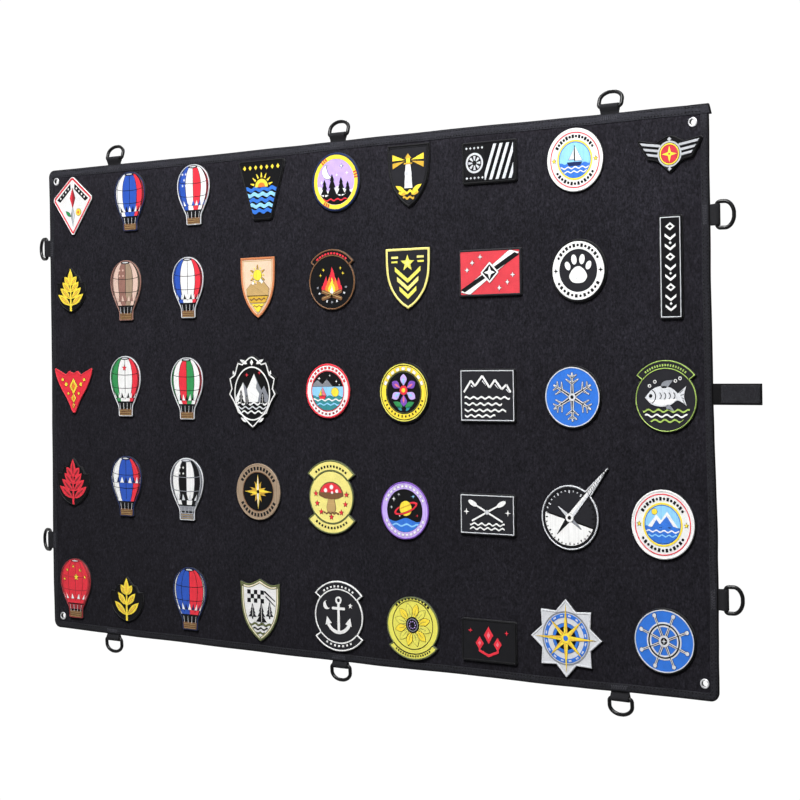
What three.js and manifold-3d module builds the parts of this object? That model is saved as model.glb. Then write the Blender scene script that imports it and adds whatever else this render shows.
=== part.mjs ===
// Soft patch display board: a black loop-faced cloth panel with a woven back,
// bound round its edge, hung from ten D-rings on webbing tabs or from four
// corner eyelets, with a closure strap on its right edge and embroidered
// hook-backed patches on its face.
//
// Millimetres. X runs along the width (+X is the right edge seen from the
// front), Z is up, and the loop face looks along -Y. The origin is the centre
// of the back panel's rear face, the face that lies against a wall.
import * as THREE from 'three';
import { mergeVertices } from 'three/addons/utils/BufferGeometryUtils.js';
import Module from 'manifold-3d';

const wasm = await Module();
wasm.setup();

// ---- driving dimensions -------------------------------------------------
const BOARD_W = 1100;          // outside of the binding
const BOARD_H = 700;
const CORNER_R = 11;           // rounding of the bound corners
const BIND_LEG = 10;           // binding width seen on the face and on the back
const BIND_WALL = 0.7;         // binding tape thickness
const BIND_FRONT = -4.0;       // y of the binding's front
const BIND_BACK = -0.05;       // y of the binding's back
const PANEL_INSET = 1.1;       // panel edge behind the binding's outer face
const FIELD_INSET = 10.3;      // where the panels stop being pressed flat
const BACK_FRONT = -1.5;       // back panel: inner face
const BACK_RIM = -0.75;        // back panel: rear face under the binding
const LOOP_BACK = -1.6;        // loop panel: inner face
const LOOP_RIM = -3.2;         // loop panel: front face under the binding
const LOOP_FRONT = -4.0;       // loop panel: front of the loop pile

const EYELET_HOLE_R = 3.4;
const EYELET_BARREL_R = 3.9;
const EYELET_FLANGE_R = 6.2;
const PANEL_HOLE_R = 4.25;
const DIMPLE_R = 6.6;

const TAB_W = 25;              // webbing width
const TAB_TAIL = 9.6;          // length sewn into the edge
const TAB_MID = -1.7;          // y of the tab's middle plane
const TAB_TAIL_T = 1.2;        // two pressed layers
const TAB_HOLE_R = 3.05;       // webbing eye round the ring's bar
const TAB_EYE_R = 4.0;         // outside of the webbing eye

const WIRE_R = 2.5;            // ring wire, across the corners of its section
const RING_HALF = 15.4;        // half the ring's width on the wire's centre line
const RING_CORNER = 4.0;       // bend radius at the ends of the bar
const RING_SIDE = 9.2;         // where the straight sides end
const RING_DEPTH = 20.0;       // bar to bow, on the wire's centre line
const RING_LEAN = { t: 18, r: 12, l: 17, b: 4 };  // degrees the rings of each edge lean back out of the board's plane

const STRAP_W = 25;
const STRAP_ROOT_X = 551.3;    // rounded root, just outside the right edge; it bends about x 554.3
const STRAP_TIP_X = 611.5;
const STRAP_Z = 10;            // strap's centre height
const STRAP_T = 1.3;
const PAD_ROOT_X = 560.6;        // pad starts past a bare length of webbing
const PAD_W = 22.6;
const PAD_T = 1.1;

const PATCH_BACK = -4.25;      // hook backing against the loop pile
const PATCH_T = 3.0;

// ---- materials ----------------------------------------------------------
const mat = (color, roughness, metalness = 0) =>
  new THREE.MeshStandardMaterial({ color, roughness, metalness });

// ---- solids -------------------------------------------------------------
const solid = (geometry) => {
  const g = geometry.clone();
  g.deleteAttribute('normal');
  g.deleteAttribute('uv');
  const m = mergeVertices(g, 1e-4);
  return new wasm.Manifold(new wasm.Mesh({
    numProp: 3,
    vertProperties: new Float32Array(m.attributes.position.array),
    triVerts: new Uint32Array(m.index.array),
  }));
};

const geometryOf = (body) => {
  const m = body.getMesh();
  const g = new THREE.BufferGeometry();
  g.setAttribute('position', new THREE.BufferAttribute(new Float32Array(m.vertProperties), 3));
  g.setIndex(new THREE.BufferAttribute(new Uint32Array(m.triVerts), 1));
  return g;
};

// A shape drawn in the XZ plane, filled from y0 (front) to y1 (rear).
const slab = (shape, y0, y1, curveSegments = 4) => {
  const g = new THREE.ExtrudeGeometry(shape, { depth: y1 - y0, bevelEnabled: false, curveSegments });
  g.rotateX(Math.PI / 2);
  g.translate(0, y1, 0);
  return g;
};

const block = (x0, x1, y0, y1, z0, z1) => {
  const g = new THREE.BoxGeometry(x1 - x0, y1 - y0, z1 - z0);
  g.translate((x0 + x1) / 2, (y0 + y1) / 2, (z0 + z1) / 2);
  return g;
};

const roundedRect = (w, h, r) => {
  const s = new THREE.Shape();
  const a = w / 2, b = h / 2;
  s.moveTo(-a + r, -b);
  s.lineTo(a - r, -b);
  s.absarc(a - r, -b + r, r, -Math.PI / 2, 0, false);
  s.lineTo(a, b - r);
  s.absarc(a - r, b - r, r, 0, Math.PI / 2, false);
  s.lineTo(-a + r, b);
  s.absarc(-a + r, b - r, r, Math.PI / 2, Math.PI, false);
  s.lineTo(-a, -b + r);
  s.absarc(-a + r, -b + r, r, Math.PI, 1.5 * Math.PI, false);
  return s;
};

const plainRect = (w, h) => {
  const s = new THREE.Shape();
  s.moveTo(-w / 2, -h / 2);
  s.lineTo(w / 2, -h / 2);
  s.lineTo(w / 2, h / 2);
  s.lineTo(-w / 2, h / 2);
  s.closePath();
  return s;
};

const inset = (d) => roundedRect(BOARD_W - 2 * d, BOARD_H - 2 * d, Math.max(CORNER_R - d, 1));

const group = new THREE.Group();
const put = (name, geometry, material, parent = group) => {
  const mesh = new THREE.Mesh(geometry, material);
  mesh.name = name;
  parent.add(mesh);
  return mesh;
};

// ---- where the tabs, rings and eyelets sit ------------------------------
// side: t top, b bottom, l left, r right; at: position along that edge
// name, edge, place along the edge, ring bar's centre beyond the edge; sewn
// in by hand, so no two sit quite alike
const RINGS = [
  ['top_left', 't', -412, 8.4], ['top_middle', 't', 7, 8.6], ['top_right', 't', 420, 8.4],
  ['bottom_left', 'b', -428, 8.6], ['bottom_middle', 'b', -2, 9.2], ['bottom_right', 'b', 423, 9.2],
  ['left_upper', 'l', 231, 8.4], ['left_lower', 'l', -218, 10.6],
  ['right_upper', 'r', 219.5, 8.4], ['right_lower', 'r', -230, 12.4],
];
// eyelet centres, set by hand: name, distance in from the side edge and from
// the top or bottom edge
const EYELETS = [
  ['top_left', -1, 1, 17, 17.5], ['top_right', 1, 1, 19.6, 20.4],
  ['bottom_left', -1, -1, 17, 17], ['bottom_right', 1, -1, 14.4, 20.2],
];

// A box in the tab's own terms: u along the edge, v outward from it.
const edgeBlock = (side, at, u, v0, v1, y0, y1) => {
  const W = BOARD_W / 2, H = BOARD_H / 2;
  if (side === 't') return block(at - u, at + u, y0, y1, H + v0, H + v1);
  if (side === 'b') return block(at - u, at + u, y0, y1, -H - v1, -H - v0);
  if (side === 'l') return block(-W - v1, -W - v0, y0, y1, at - u, at + u);
  return block(W + v0, W + v1, y0, y1, at - u, at + u);
};

const eyeletCentre = ([, sx, sz, inX, inZ]) =>
  [sx * (BOARD_W / 2 - inX), sz * (BOARD_H / 2 - inZ)];

// A round hole or dimple through y0..y1.
const drill = (x, z, r, y0, y1, sides = 16) => {
  const g = new THREE.CylinderGeometry(r, r, y1 - y0, sides);
  g.translate(x, (y0 + y1) / 2, z);
  return g;
};

// ---- panels -------------------------------------------------------------
const field = plainRect(BOARD_W - 2 * FIELD_INSET, BOARD_H - 2 * FIELD_INSET);

let loopPanel = solid(slab(inset(PANEL_INSET), LOOP_RIM, LOOP_BACK))
  .add(solid(slab(field, LOOP_FRONT, LOOP_BACK)));
let backPanel = solid(slab(inset(PANEL_INSET), BACK_FRONT, BACK_RIM))
  .add(solid(slab(field, BACK_FRONT, 0)));
for (const [, side, at] of RINGS) {
  loopPanel = loopPanel.subtract(solid(edgeBlock(side, at, TAB_W / 2 + 0.3, -TAB_TAIL - 0.4, 3, -2.5, LOOP_BACK + 0.5)));
  backPanel = backPanel.subtract(solid(edgeBlock(side, at, TAB_W / 2 + 0.3, -TAB_TAIL - 0.4, 3, BACK_FRONT - 0.5, -1.0)));
}
for (const e of EYELETS) {
  const [x, z] = eyeletCentre(e);
  loopPanel = loopPanel.subtract(solid(drill(x, z, PANEL_HOLE_R, -6, 2)));
  backPanel = backPanel.subtract(solid(drill(x, z, PANEL_HOLE_R, -6, 2)));
  backPanel = backPanel.subtract(solid(drill(x, z, DIMPLE_R, -1.1, 2)));
}
put('loop_face_panel', geometryOf(loopPanel), mat('#1b1b1e', 1.0));
put('back_panel', geometryOf(backPanel), mat('#17171a', 0.8));

// ---- binding: one tape folded round the edge ----------------------------
let binding = solid(slab(inset(0), BIND_FRONT, BIND_BACK, 6))
  .subtract(solid(slab(inset(BIND_WALL + 0.1), BIND_FRONT + BIND_WALL, BIND_BACK - 0.6)))
  .subtract(solid(slab(plainRect(BOARD_W - 2 * BIND_LEG, BOARD_H - 2 * BIND_LEG), BIND_FRONT - 2, BIND_BACK + 2)));
for (const [, side, at] of RINGS) {
  binding = binding.subtract(solid(edgeBlock(side, at, TAB_W / 2 + 0.3, -2, 3, -2.6, -0.8)));
}
for (const e of EYELETS) {
  const [x, z] = eyeletCentre(e);
  binding = binding.subtract(solid(drill(x, z, PANEL_HOLE_R, -6, 2)));
  binding = binding.subtract(solid(drill(x, z, DIMPLE_R, -1.1, 2)));
}
put('edge_binding', geometryOf(binding), mat('#202024', 0.7));

// ---- webbing tabs and D-rings -------------------------------------------
// Tab profile in its own plane: first axis outward from the board's edge,
// second axis through the board; swept along the webbing's width.
const tabShape = (bar) => {
  const s = new THREE.Shape();
  const half = TAB_TAIL_T / 2;
  const lead = Math.PI - 0.62;                 // where the tail meets the eye
  s.moveTo(-TAB_TAIL, -half);
  s.lineTo(1.2, -half);
  s.lineTo(bar + TAB_EYE_R * Math.cos(-lead), TAB_EYE_R * Math.sin(-lead));
  s.absarc(bar, 0, TAB_EYE_R, -lead, lead, false);
  s.lineTo(1.2, half);
  s.lineTo(-TAB_TAIL, half);
  s.closePath();
  const eye = new THREE.Path();
  eye.absarc(bar, 0, TAB_HOLE_R, 0, 2 * Math.PI, true);
  s.holes.push(eye);
  return s;
};
const tabGeometry = (bar) => {
  const g = new THREE.ExtrudeGeometry(tabShape(bar), { depth: TAB_W, bevelEnabled: false, curveSegments: 7 });
  g.translate(0, 0, -TAB_W / 2);
  return g;
};

// Ring centre line: u along the bar, v away from it. The bow has a short
// straight run at its top, where a hook bears.
const ringPath = () => {
  const p = [];
  const c = RING_HALF - RING_CORNER;
  p.push([-c, 0], [c, 0]);
  for (let i = 1; i <= 3; i++) {
    const a = (i / 3) * Math.PI / 2;
    p.push([c + RING_CORNER * Math.sin(a), RING_CORNER * (1 - Math.cos(a))]);
  }
  p.push([RING_HALF, RING_SIDE]);
  const rise = RING_DEPTH - RING_SIDE;
  for (const a of [18, 36, 53, 68, 80]) {
    const t = a * Math.PI / 180;
    p.push([RING_HALF * Math.cos(t), RING_SIDE + rise * Math.min(1, Math.sin(t) / Math.sin(80 * Math.PI / 180))]);
  }
  const half = p.slice(1);
  const mirrored = half.slice().reverse().map(([u, v]) => [-u, v]);
  return half.concat(mirrored);
};

// Closed sweep of a regular section along a flat closed path, mitred at each
// corner so that every section keeps its width.
const ringGeometry = (sides = 8) => {
  const path = ringPath();
  const n = path.length;
  const pos = [], idx = [];
  for (let i = 0; i < n; i++) {
    const a = path[(i + n - 1) % n], b = path[i], c = path[(i + 1) % n];
    const d1 = new THREE.Vector2(b[0] - a[0], b[1] - a[1]).normalize();
    const d2 = new THREE.Vector2(c[0] - b[0], c[1] - b[1]).normalize();
    const t = d1.clone().add(d2).normalize();
    const stretch = 1 / Math.max(0.6, t.dot(d2));
    const out = new THREE.Vector2(t.y, -t.x);
    for (let k = 0; k < sides; k++) {
      const q = (k + 0.5) * 2 * Math.PI / sides;
      const r = WIRE_R * Math.cos(q) * stretch, w = WIRE_R * Math.sin(q);
      pos.push(b[1] + out.y * r, w, b[0] + out.x * r);
    }
  }
  for (let i = 0; i < n; i++) {
    for (let k = 0; k < sides; k++) {
      const a = i * sides + k, b = i * sides + (k + 1) % sides;
      const c = ((i + 1) % n) * sides + k, d = ((i + 1) % n) * sides + (k + 1) % sides;
      idx.push(a, c, b, b, c, d);
    }
  }
  const g = new THREE.BufferGeometry();
  g.setAttribute('position', new THREE.BufferAttribute(new Float32Array(pos), 3));
  g.setIndex(idx);
  return g;
};

// Frames: the first local axis points outward from the edge, the second is
// +Y or -Y, the third runs along the edge.
const edgeFrame = (side, at) => {
  const m = new THREE.Matrix4();
  const Y = new THREE.Vector3(0, 1, 0);
  const out = { t: [0, 0, 1], b: [0, 0, -1], l: [-1, 0, 0], r: [1, 0, 0] }[side];
  const o = new THREE.Vector3(...out);
  const along = new THREE.Vector3().crossVectors(o, Y);
  m.makeBasis(o, Y, along);
  const W = BOARD_W / 2, H = BOARD_H / 2;
  const p = { t: [at, TAB_MID, H], b: [at, TAB_MID, -H], l: [-W, TAB_MID, at], r: [W, TAB_MID, at] }[side];
  m.setPosition(...p);
  return m;
};

const flipIfNeeded = (g) => {
  // make the closed surface face outward
  const p = g.attributes.position, ix = g.index.array;
  let vol = 0;
  const a = new THREE.Vector3(), b = new THREE.Vector3(), c = new THREE.Vector3();
  for (let i = 0; i < ix.length; i += 3) {
    a.fromBufferAttribute(p, ix[i]); b.fromBufferAttribute(p, ix[i + 1]); c.fromBufferAttribute(p, ix[i + 2]);
    vol += a.dot(b.cross(c));
  }
  if (vol < 0) for (let i = 0; i < ix.length; i += 3) { const t = ix[i]; ix[i] = ix[i + 1]; ix[i + 1] = t; }
  return g;
};

for (const [name, side, at, bar] of RINGS) {
  const m = edgeFrame(side, at);
  const tab = tabGeometry(bar);
  tab.applyMatrix4(m);
  put(`ring_tab_${name}`, tab, mat('#1d1d20', 0.85));
  const ring = ringGeometry();
  ring.rotateZ(RING_LEAN[side] * Math.PI / 180);
  ring.translate(bar, 0, 0);
  ring.applyMatrix4(m);
  put(`d_ring_${name}`, flipIfNeeded(ring), mat('#141416', 0.35, 0.6));
}

// ---- eyelets and their washers ------------------------------------------
const lathe = (points, segments = 16) => {
  const g = new THREE.LatheGeometry(points.map(([r, y]) => new THREE.Vector2(r, y)), segments);
  return g;
};
const EYELET_PROFILE = [
  [EYELET_HOLE_R, -0.3], [EYELET_HOLE_R, -4.5], [EYELET_HOLE_R + 0.6, -4.75],
  [EYELET_FLANGE_R - 0.7, -4.75], [EYELET_FLANGE_R, -4.4], [EYELET_FLANGE_R, -4.15],
  [EYELET_BARREL_R, -4.15], [EYELET_BARREL_R, -0.45], [5.1, -0.45], [5.1, -0.2], [EYELET_HOLE_R + 0.3, -0.2],
  [EYELET_HOLE_R, -0.3],
];
const WASHER_PROFILE = [[4.15, -1.0], [EYELET_FLANGE_R, -1.0], [EYELET_FLANGE_R, -0.75], [EYELET_FLANGE_R - 0.5, -0.55], [4.15, -0.55], [4.15, -1.0]];
for (const e of EYELETS) {
  const [x, z] = eyeletCentre(e);
  const a = flipIfNeeded(mergePositions(lathe(EYELET_PROFILE)));
  a.translate(x, 0, z);
  put(`eyelet_${e[0]}`, a, mat('#c9c9cc', 0.25, 1));
  const b = flipIfNeeded(mergePositions(lathe(WASHER_PROFILE)));
  b.translate(x, 0, z);
  put(`eyelet_washer_${e[0]}`, b, mat('#c9c9cc', 0.3, 1));
}
function mergePositions(g) {
  const c = g.clone();
  c.deleteAttribute('normal');
  c.deleteAttribute('uv');
  return mergeVertices(c, 1e-4);
}

// ---- closure strap ------------------------------------------------------
const strapShape = new THREE.Shape();
strapShape.moveTo(STRAP_TIP_X, TAB_MID + STRAP_T / 2);
strapShape.lineTo(STRAP_ROOT_X, TAB_MID + STRAP_T / 2);
strapShape.absarc(STRAP_ROOT_X, TAB_MID, STRAP_T / 2, Math.PI / 2, 1.5 * Math.PI, false);
strapShape.lineTo(STRAP_TIP_X, TAB_MID - STRAP_T / 2);
strapShape.closePath();
const strap = new THREE.ExtrudeGeometry(strapShape, { depth: STRAP_W, bevelEnabled: false, curveSegments: 8 });
strap.translate(0, 0, STRAP_Z - STRAP_W / 2);
put('closure_strap', strap, mat('#17171a', 0.85));
const padFront = TAB_MID - STRAP_T / 2 - 0.1;
const pad = roundedRect(STRAP_TIP_X - 1 - PAD_ROOT_X, PAD_W, 2);
const padGeometry = slab(pad, padFront - PAD_T, padFront, 3);
padGeometry.translate((STRAP_TIP_X - 1 + PAD_ROOT_X) / 2, 0, STRAP_Z);
put('strap_fastening_pad', padGeometry, mat('#2a2a2d', 1.0));

// ---- patch outlines -----------------------------------------------------
// Each outline is a list of [u, v] points, anticlockwise seen from the front.
const TAU = 2 * Math.PI;
const polar = (n, r) => Array.from({ length: n }, (_, i) => {
  const t = (i / n) * TAU; const q = r(t); return [q * Math.cos(t), q * Math.sin(t)];
});
const ellipse = (w, h, n = 26) => polar(n, () => 1).map(([u, v]) => [u * w / 2, v * h / 2]);
const smoothClosed = (pts, n) => {
  const c = new THREE.CatmullRomCurve3(pts.map(([u, v]) => new THREE.Vector3(u, v, 0)), true, 'catmullrom', 0.5);
  return c.getPoints(n).slice(0, n).map((p) => [p.x, p.y]);
};
const scaled = (pts, w, h) => {
  const us = pts.map((p) => p[0]), vs = pts.map((p) => p[1]);
  const u0 = Math.min(...us), u1 = Math.max(...us), v0 = Math.min(...vs), v1 = Math.max(...vs);
  return pts.map(([u, v]) => [((u - (u0 + u1) / 2) / (u1 - u0)) * w, ((v - (v0 + v1) / 2) / (v1 - v0)) * h]);
};
const mirrorU = (right) => right.concat(right.slice().reverse().map(([u, v]) => [-u, v])).filter(
  ([u, v], i, a) => i === 0 || Math.hypot(u - a[i - 1][0], v - a[i - 1][1]) > 1e-6);

const OUTLINES = {
  disc: (w, h) => ellipse(w, h),
  rect: (w, h) => {
    const r = 2.2, a = w / 2, b = h / 2, k = r * 0.3;
    return [[a - r, -b], [a - k, -b + k], [a, -b + r], [a, b - r], [a - k, b - k], [a - r, b],
      [-a + r, b], [-a + k, b - k], [-a, b - r], [-a, -b + r], [-a + k, -b + k], [-a + r, -b]];
  },
  shield: (w, h) => scaled(mirrorU([[0, -1.25], [0.28, -1.08], [0.55, -0.82], [0.78, -0.48], [0.92, -0.08], [0.97, 0.35], [0.98, 0.97], [0.93, 1.0]]), w, h),
  crown_shield: (w, h) => scaled(mirrorU([[0, -1.25], [0.3, -1.06], [0.6, -0.78], [0.83, -0.4], [0.95, 0.1], [0.97, 0.62], [0.99, 0.9], [0.55, 0.82], [0, 1.02]]), w, h),
  kite: (w, h) => scaled([[0.05, -1], [0.97, 0.18], [0.97, 0.3], [0.06, 1], [-0.06, 1], [-0.97, 0.3], [-0.97, 0.18], [-0.05, -1]], w, h),
  wedge: (w, h) => scaled([[0.36, -1], [0.42, -0.95], [1, 0.9], [0.95, 1], [-0.95, 1], [-1, 0.9], [-0.42, -0.95], [-0.36, -1]], w, h),
  balloon: (w, h) => scaled(mirrorU([[0.0, -1.42], [0.4, -1.42], [0.45, -1.38], [0.47, -1.0], [0.62, -0.72], [0.85, -0.3], [0.97, 0.05], [1.0, 0.36], [0.95, 0.66], [0.8, 0.94], [0.55, 1.16], [0.27, 1.28], [0, 1.31]]), w, h),
  wings: (w, h) => scaled(mirrorU([[0, -1], [0.1, -0.86], [0.36, -0.4], [0.66, -0.24], [0.73, -0.14], [1, 0.76], [0.96, 0.86], [0.44, 0.66], [0.12, 0.96], [0, 1]]), w, h),
  wing_wedge: (w, h) => scaled(mirrorU([[0, -1], [0.1, -0.92], [0.34, -0.42], [0.68, 0.1], [0.92, 0.62], [1, 0.94], [0.96, 1.0], [0.4, 0.72], [0.22, 0.88], [0, 0.78]]), w, h),
  leaf: (w, h) => scaled(mirrorU([[0, -1], [0.2, -0.95], [0.55, -0.78], [0.86, -0.45], [0.99, -0.02], [0.96, 0.35], [0.72, 0.34], [0.55, 0.62], [0.36, 0.66], [0.16, 0.86], [0, 1]]), w, h),
  almond: (w, h) => scaled(mirrorU([[0, -1], [0.16, -0.9], [0.46, -0.66], [0.6, -0.6], [0.78, -0.3], [0.98, -0.06], [0.88, 0.1], [0.96, 0.38], [0.74, 0.5], [0.6, 0.84], [0.4, 0.8], [0.14, 0.96], [0, 1]]), w, h),
  star: (w, h) => scaled(Array.from({ length: 16 }, (_, i) => {
    const t = (i / 16) * TAU + Math.PI / 2; const q = i % 2 ? 0.74 : 1; return [q * Math.cos(t), q * Math.sin(t)];
  }), w, h),
  rocker: (w, h, top, bottom) => {
    // a disc with a raised arc band over its top, its bottom, or both
    const bands = (top ? 1 : 0) + (bottom ? 1 : 0);
    const R = w / 2, extra = Math.max(4, (h - w) / bands + (w / 2 - R));
    const half = 52 * Math.PI / 180, pts = [];
    const add = (t, r) => pts.push([r * Math.cos(t), r * Math.sin(t)]);
    const arc = (t0, t1, r, n) => { for (let i = 0; i <= n; i++) add(t0 + (t1 - t0) * i / n, r); };
    const R0 = R * 0.93;
    arc(-Math.PI / 2 + half, Math.PI / 2 - half, R0, 6);
    arc(Math.PI / 2 - half, Math.PI / 2 + half, top ? R + extra : R0, 8);
    arc(Math.PI / 2 + half, 1.5 * Math.PI - half, R0, 6);
    arc(1.5 * Math.PI - half, 1.5 * Math.PI + half, bottom ? R + extra : R0, 8);
    const clean = pts.filter(([u, v], i) => {
      const q = pts[(i + pts.length - 1) % pts.length];
      return Math.hypot(u - q[0], v - q[1]) > 1e-3;
    });
    return scaled(clean, w, h);
  },
};

// name, centre x, centre z, width, height, outline, outline options
const PATCHES = [
  ['patch_r1c1', -495.4, 293.1, 80.8, 87.2, 'kite'],
  ['patch_r1c2', -376.2, 292.6, 61, 87, 'balloon'],
  ['patch_r1c3', -250.7, 294.5, 62, 87, 'balloon'],
  ['patch_r1c4', -123.4, 292.9, 82.5, 82.8, 'wedge'],
  ['patch_r1c5', 6.1, 295.2, 80, 79, 'disc'],
  ['patch_r1c6', 125.5, 294.9, 66, 82, 'shield'],
  ['patch_r1c7', 249.7, 303.8, 80.3, 52.8, 'rect'],
  ['patch_r1c8', 373.9, 296.9, 78, 78, 'disc'],
  ['patch_r1c9', 501.5, 294.2, 84, 43, 'wings'],
  ['patch_r3c1', -499.5, 12.7, 80, 68.3, 'wing_wedge'],
  ['patch_r3c2', -391.2, 19.3, 62, 89.5, 'balloon'],
  ['patch_r3c3', -268.9, 16.0, 62, 89.5, 'balloon'],
  ['patch_r3c4', -146.3, 11.1, 88, 103, 'almond'],
  ['patch_r3c5', -12.8, 12.9, 75, 74, 'disc'],
  ['patch_r3c6', 112.9, 11.1, 80, 80, 'disc'],
  ['patch_r3c7', 242.2, 7.6, 82.4, 67.3, 'rect'],
  ['patch_r3c8', 365.5, 6.1, 79, 77, 'disc'],
  ['patch_r3c9', 492.0, 7.8, 80, 85.4, 'rocker', true, false],
  ['patch_r5c1', -501.9, -288.2, 64, 90, 'balloon'],
  ['patch_r5c2', -395.0, -297.3, 65.6, 65.8, 'leaf'],
  ['patch_r5c3', -269.5, -287.5, 64, 90, 'balloon'],
  ['patch_r5c4', -137.6, -294.1, 71, 87.4, 'crown_shield'],
  ['patch_r5c5', 0.1, -291.8, 81.7, 95.4, 'rocker', true, true],
  ['patch_r5c6', 121.6, -298.4, 83, 83, 'rocker', false, true],
  ['patch_r5c7', 239.1, -305.0, 81.3, 53.9, 'rect'],
  ['patch_r5c8', 351.7, -291.6, 100, 97, 'star'],
  ['patch_r5c9', 485.4, -283.8, 81, 78, 'disc'],
];
const PATCH_COLOURS = ['#b23a34', '#2c4f8f', '#d9d4c6', '#c79a35', '#23232a', '#4d6b3c', '#8a6f52'];
PATCHES.forEach(([name, cx, cz, w, h, kind, ...options], i) => {
  const pts = OUTLINES[kind](w, h, ...options);
  const shape = new THREE.Shape(pts.map(([u, v]) => new THREE.Vector2(u, v)));
  const g = slab(shape, PATCH_BACK - PATCH_T, PATCH_BACK);
  g.translate(cx, 0, cz);
  put(name, g, mat(PATCH_COLOURS[i % PATCH_COLOURS.length], 0.8));
});

export default group;
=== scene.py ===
"""Looks of the patch display board: soft loop-faced panel, bound edge, webbing
tabs with D-rings, eyelets, closure strap and embroidered patches.

Lengths in the tables are millimetres; every mesh is written in metres.
X runs along the width, Z is up, and the loop face looks along -Y.
"""
import math
import random

import bpy
from mathutils import Matrix, Vector, noise
from mathutils.geometry import tessellate_polygon


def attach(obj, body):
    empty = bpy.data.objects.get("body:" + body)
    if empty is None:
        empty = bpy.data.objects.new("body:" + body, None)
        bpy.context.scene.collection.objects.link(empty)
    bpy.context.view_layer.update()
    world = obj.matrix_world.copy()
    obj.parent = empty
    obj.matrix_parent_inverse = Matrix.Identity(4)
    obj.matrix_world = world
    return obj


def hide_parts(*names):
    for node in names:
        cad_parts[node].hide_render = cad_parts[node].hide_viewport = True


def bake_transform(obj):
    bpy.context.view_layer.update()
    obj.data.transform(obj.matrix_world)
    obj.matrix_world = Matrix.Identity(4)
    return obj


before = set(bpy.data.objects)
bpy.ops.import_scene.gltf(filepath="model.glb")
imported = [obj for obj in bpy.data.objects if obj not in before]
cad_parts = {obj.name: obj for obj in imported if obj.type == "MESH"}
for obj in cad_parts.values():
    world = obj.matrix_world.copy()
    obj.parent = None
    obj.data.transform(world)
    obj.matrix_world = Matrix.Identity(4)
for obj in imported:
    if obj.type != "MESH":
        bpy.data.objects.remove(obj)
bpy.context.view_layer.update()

MM = 0.001
TAU = 2 * math.pi
W2, H2 = 550.0, 350.0          # half the board's width and height
CORNER_R = 11.0

# --------------------------------------------------------------------------
# camera: the photograph's view, solved from the board's four corners
# --------------------------------------------------------------------------
cam_data = bpy.data.cameras.new("camera")
cam_data.sensor_width = 36.0
cam_data.sensor_fit = "HORIZONTAL"
cam_data.lens = 76.592
cam_data.shift_y = -0.05625
cam_data.clip_end = 60.0
cam = bpy.data.objects.new("camera", cam_data)
bpy.context.scene.collection.objects.link(cam)
_fw = Vector((-0.57471, 0.81835, -0.00344)).normalized()
_up = Vector((0.01031, 0.01144, 0.99988))
_right = _fw.cross(_up).normalized()
_up = _right.cross(_fw).normalized()
_m = Matrix.Identity(4)
for _i in range(3):
    _m[_i][0], _m[_i][1], _m[_i][2] = _right[_i], _up[_i], -_fw[_i]
_m.translation = Vector((1.39477, -1.83983, 0.06821))
cam.matrix_world = _m
bpy.context.scene.camera = cam


# --------------------------------------------------------------------------
# materials
# --------------------------------------------------------------------------
def lin(c):
    return c / 12.92 if c <= 0.04045 else ((c + 0.055) / 1.055) ** 2.4


def rgb(h, k=1.0):
    return tuple(lin(int(h[i:i + 2], 16) / 255) * k for i in (0, 2, 4)) + (1.0,)


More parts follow.
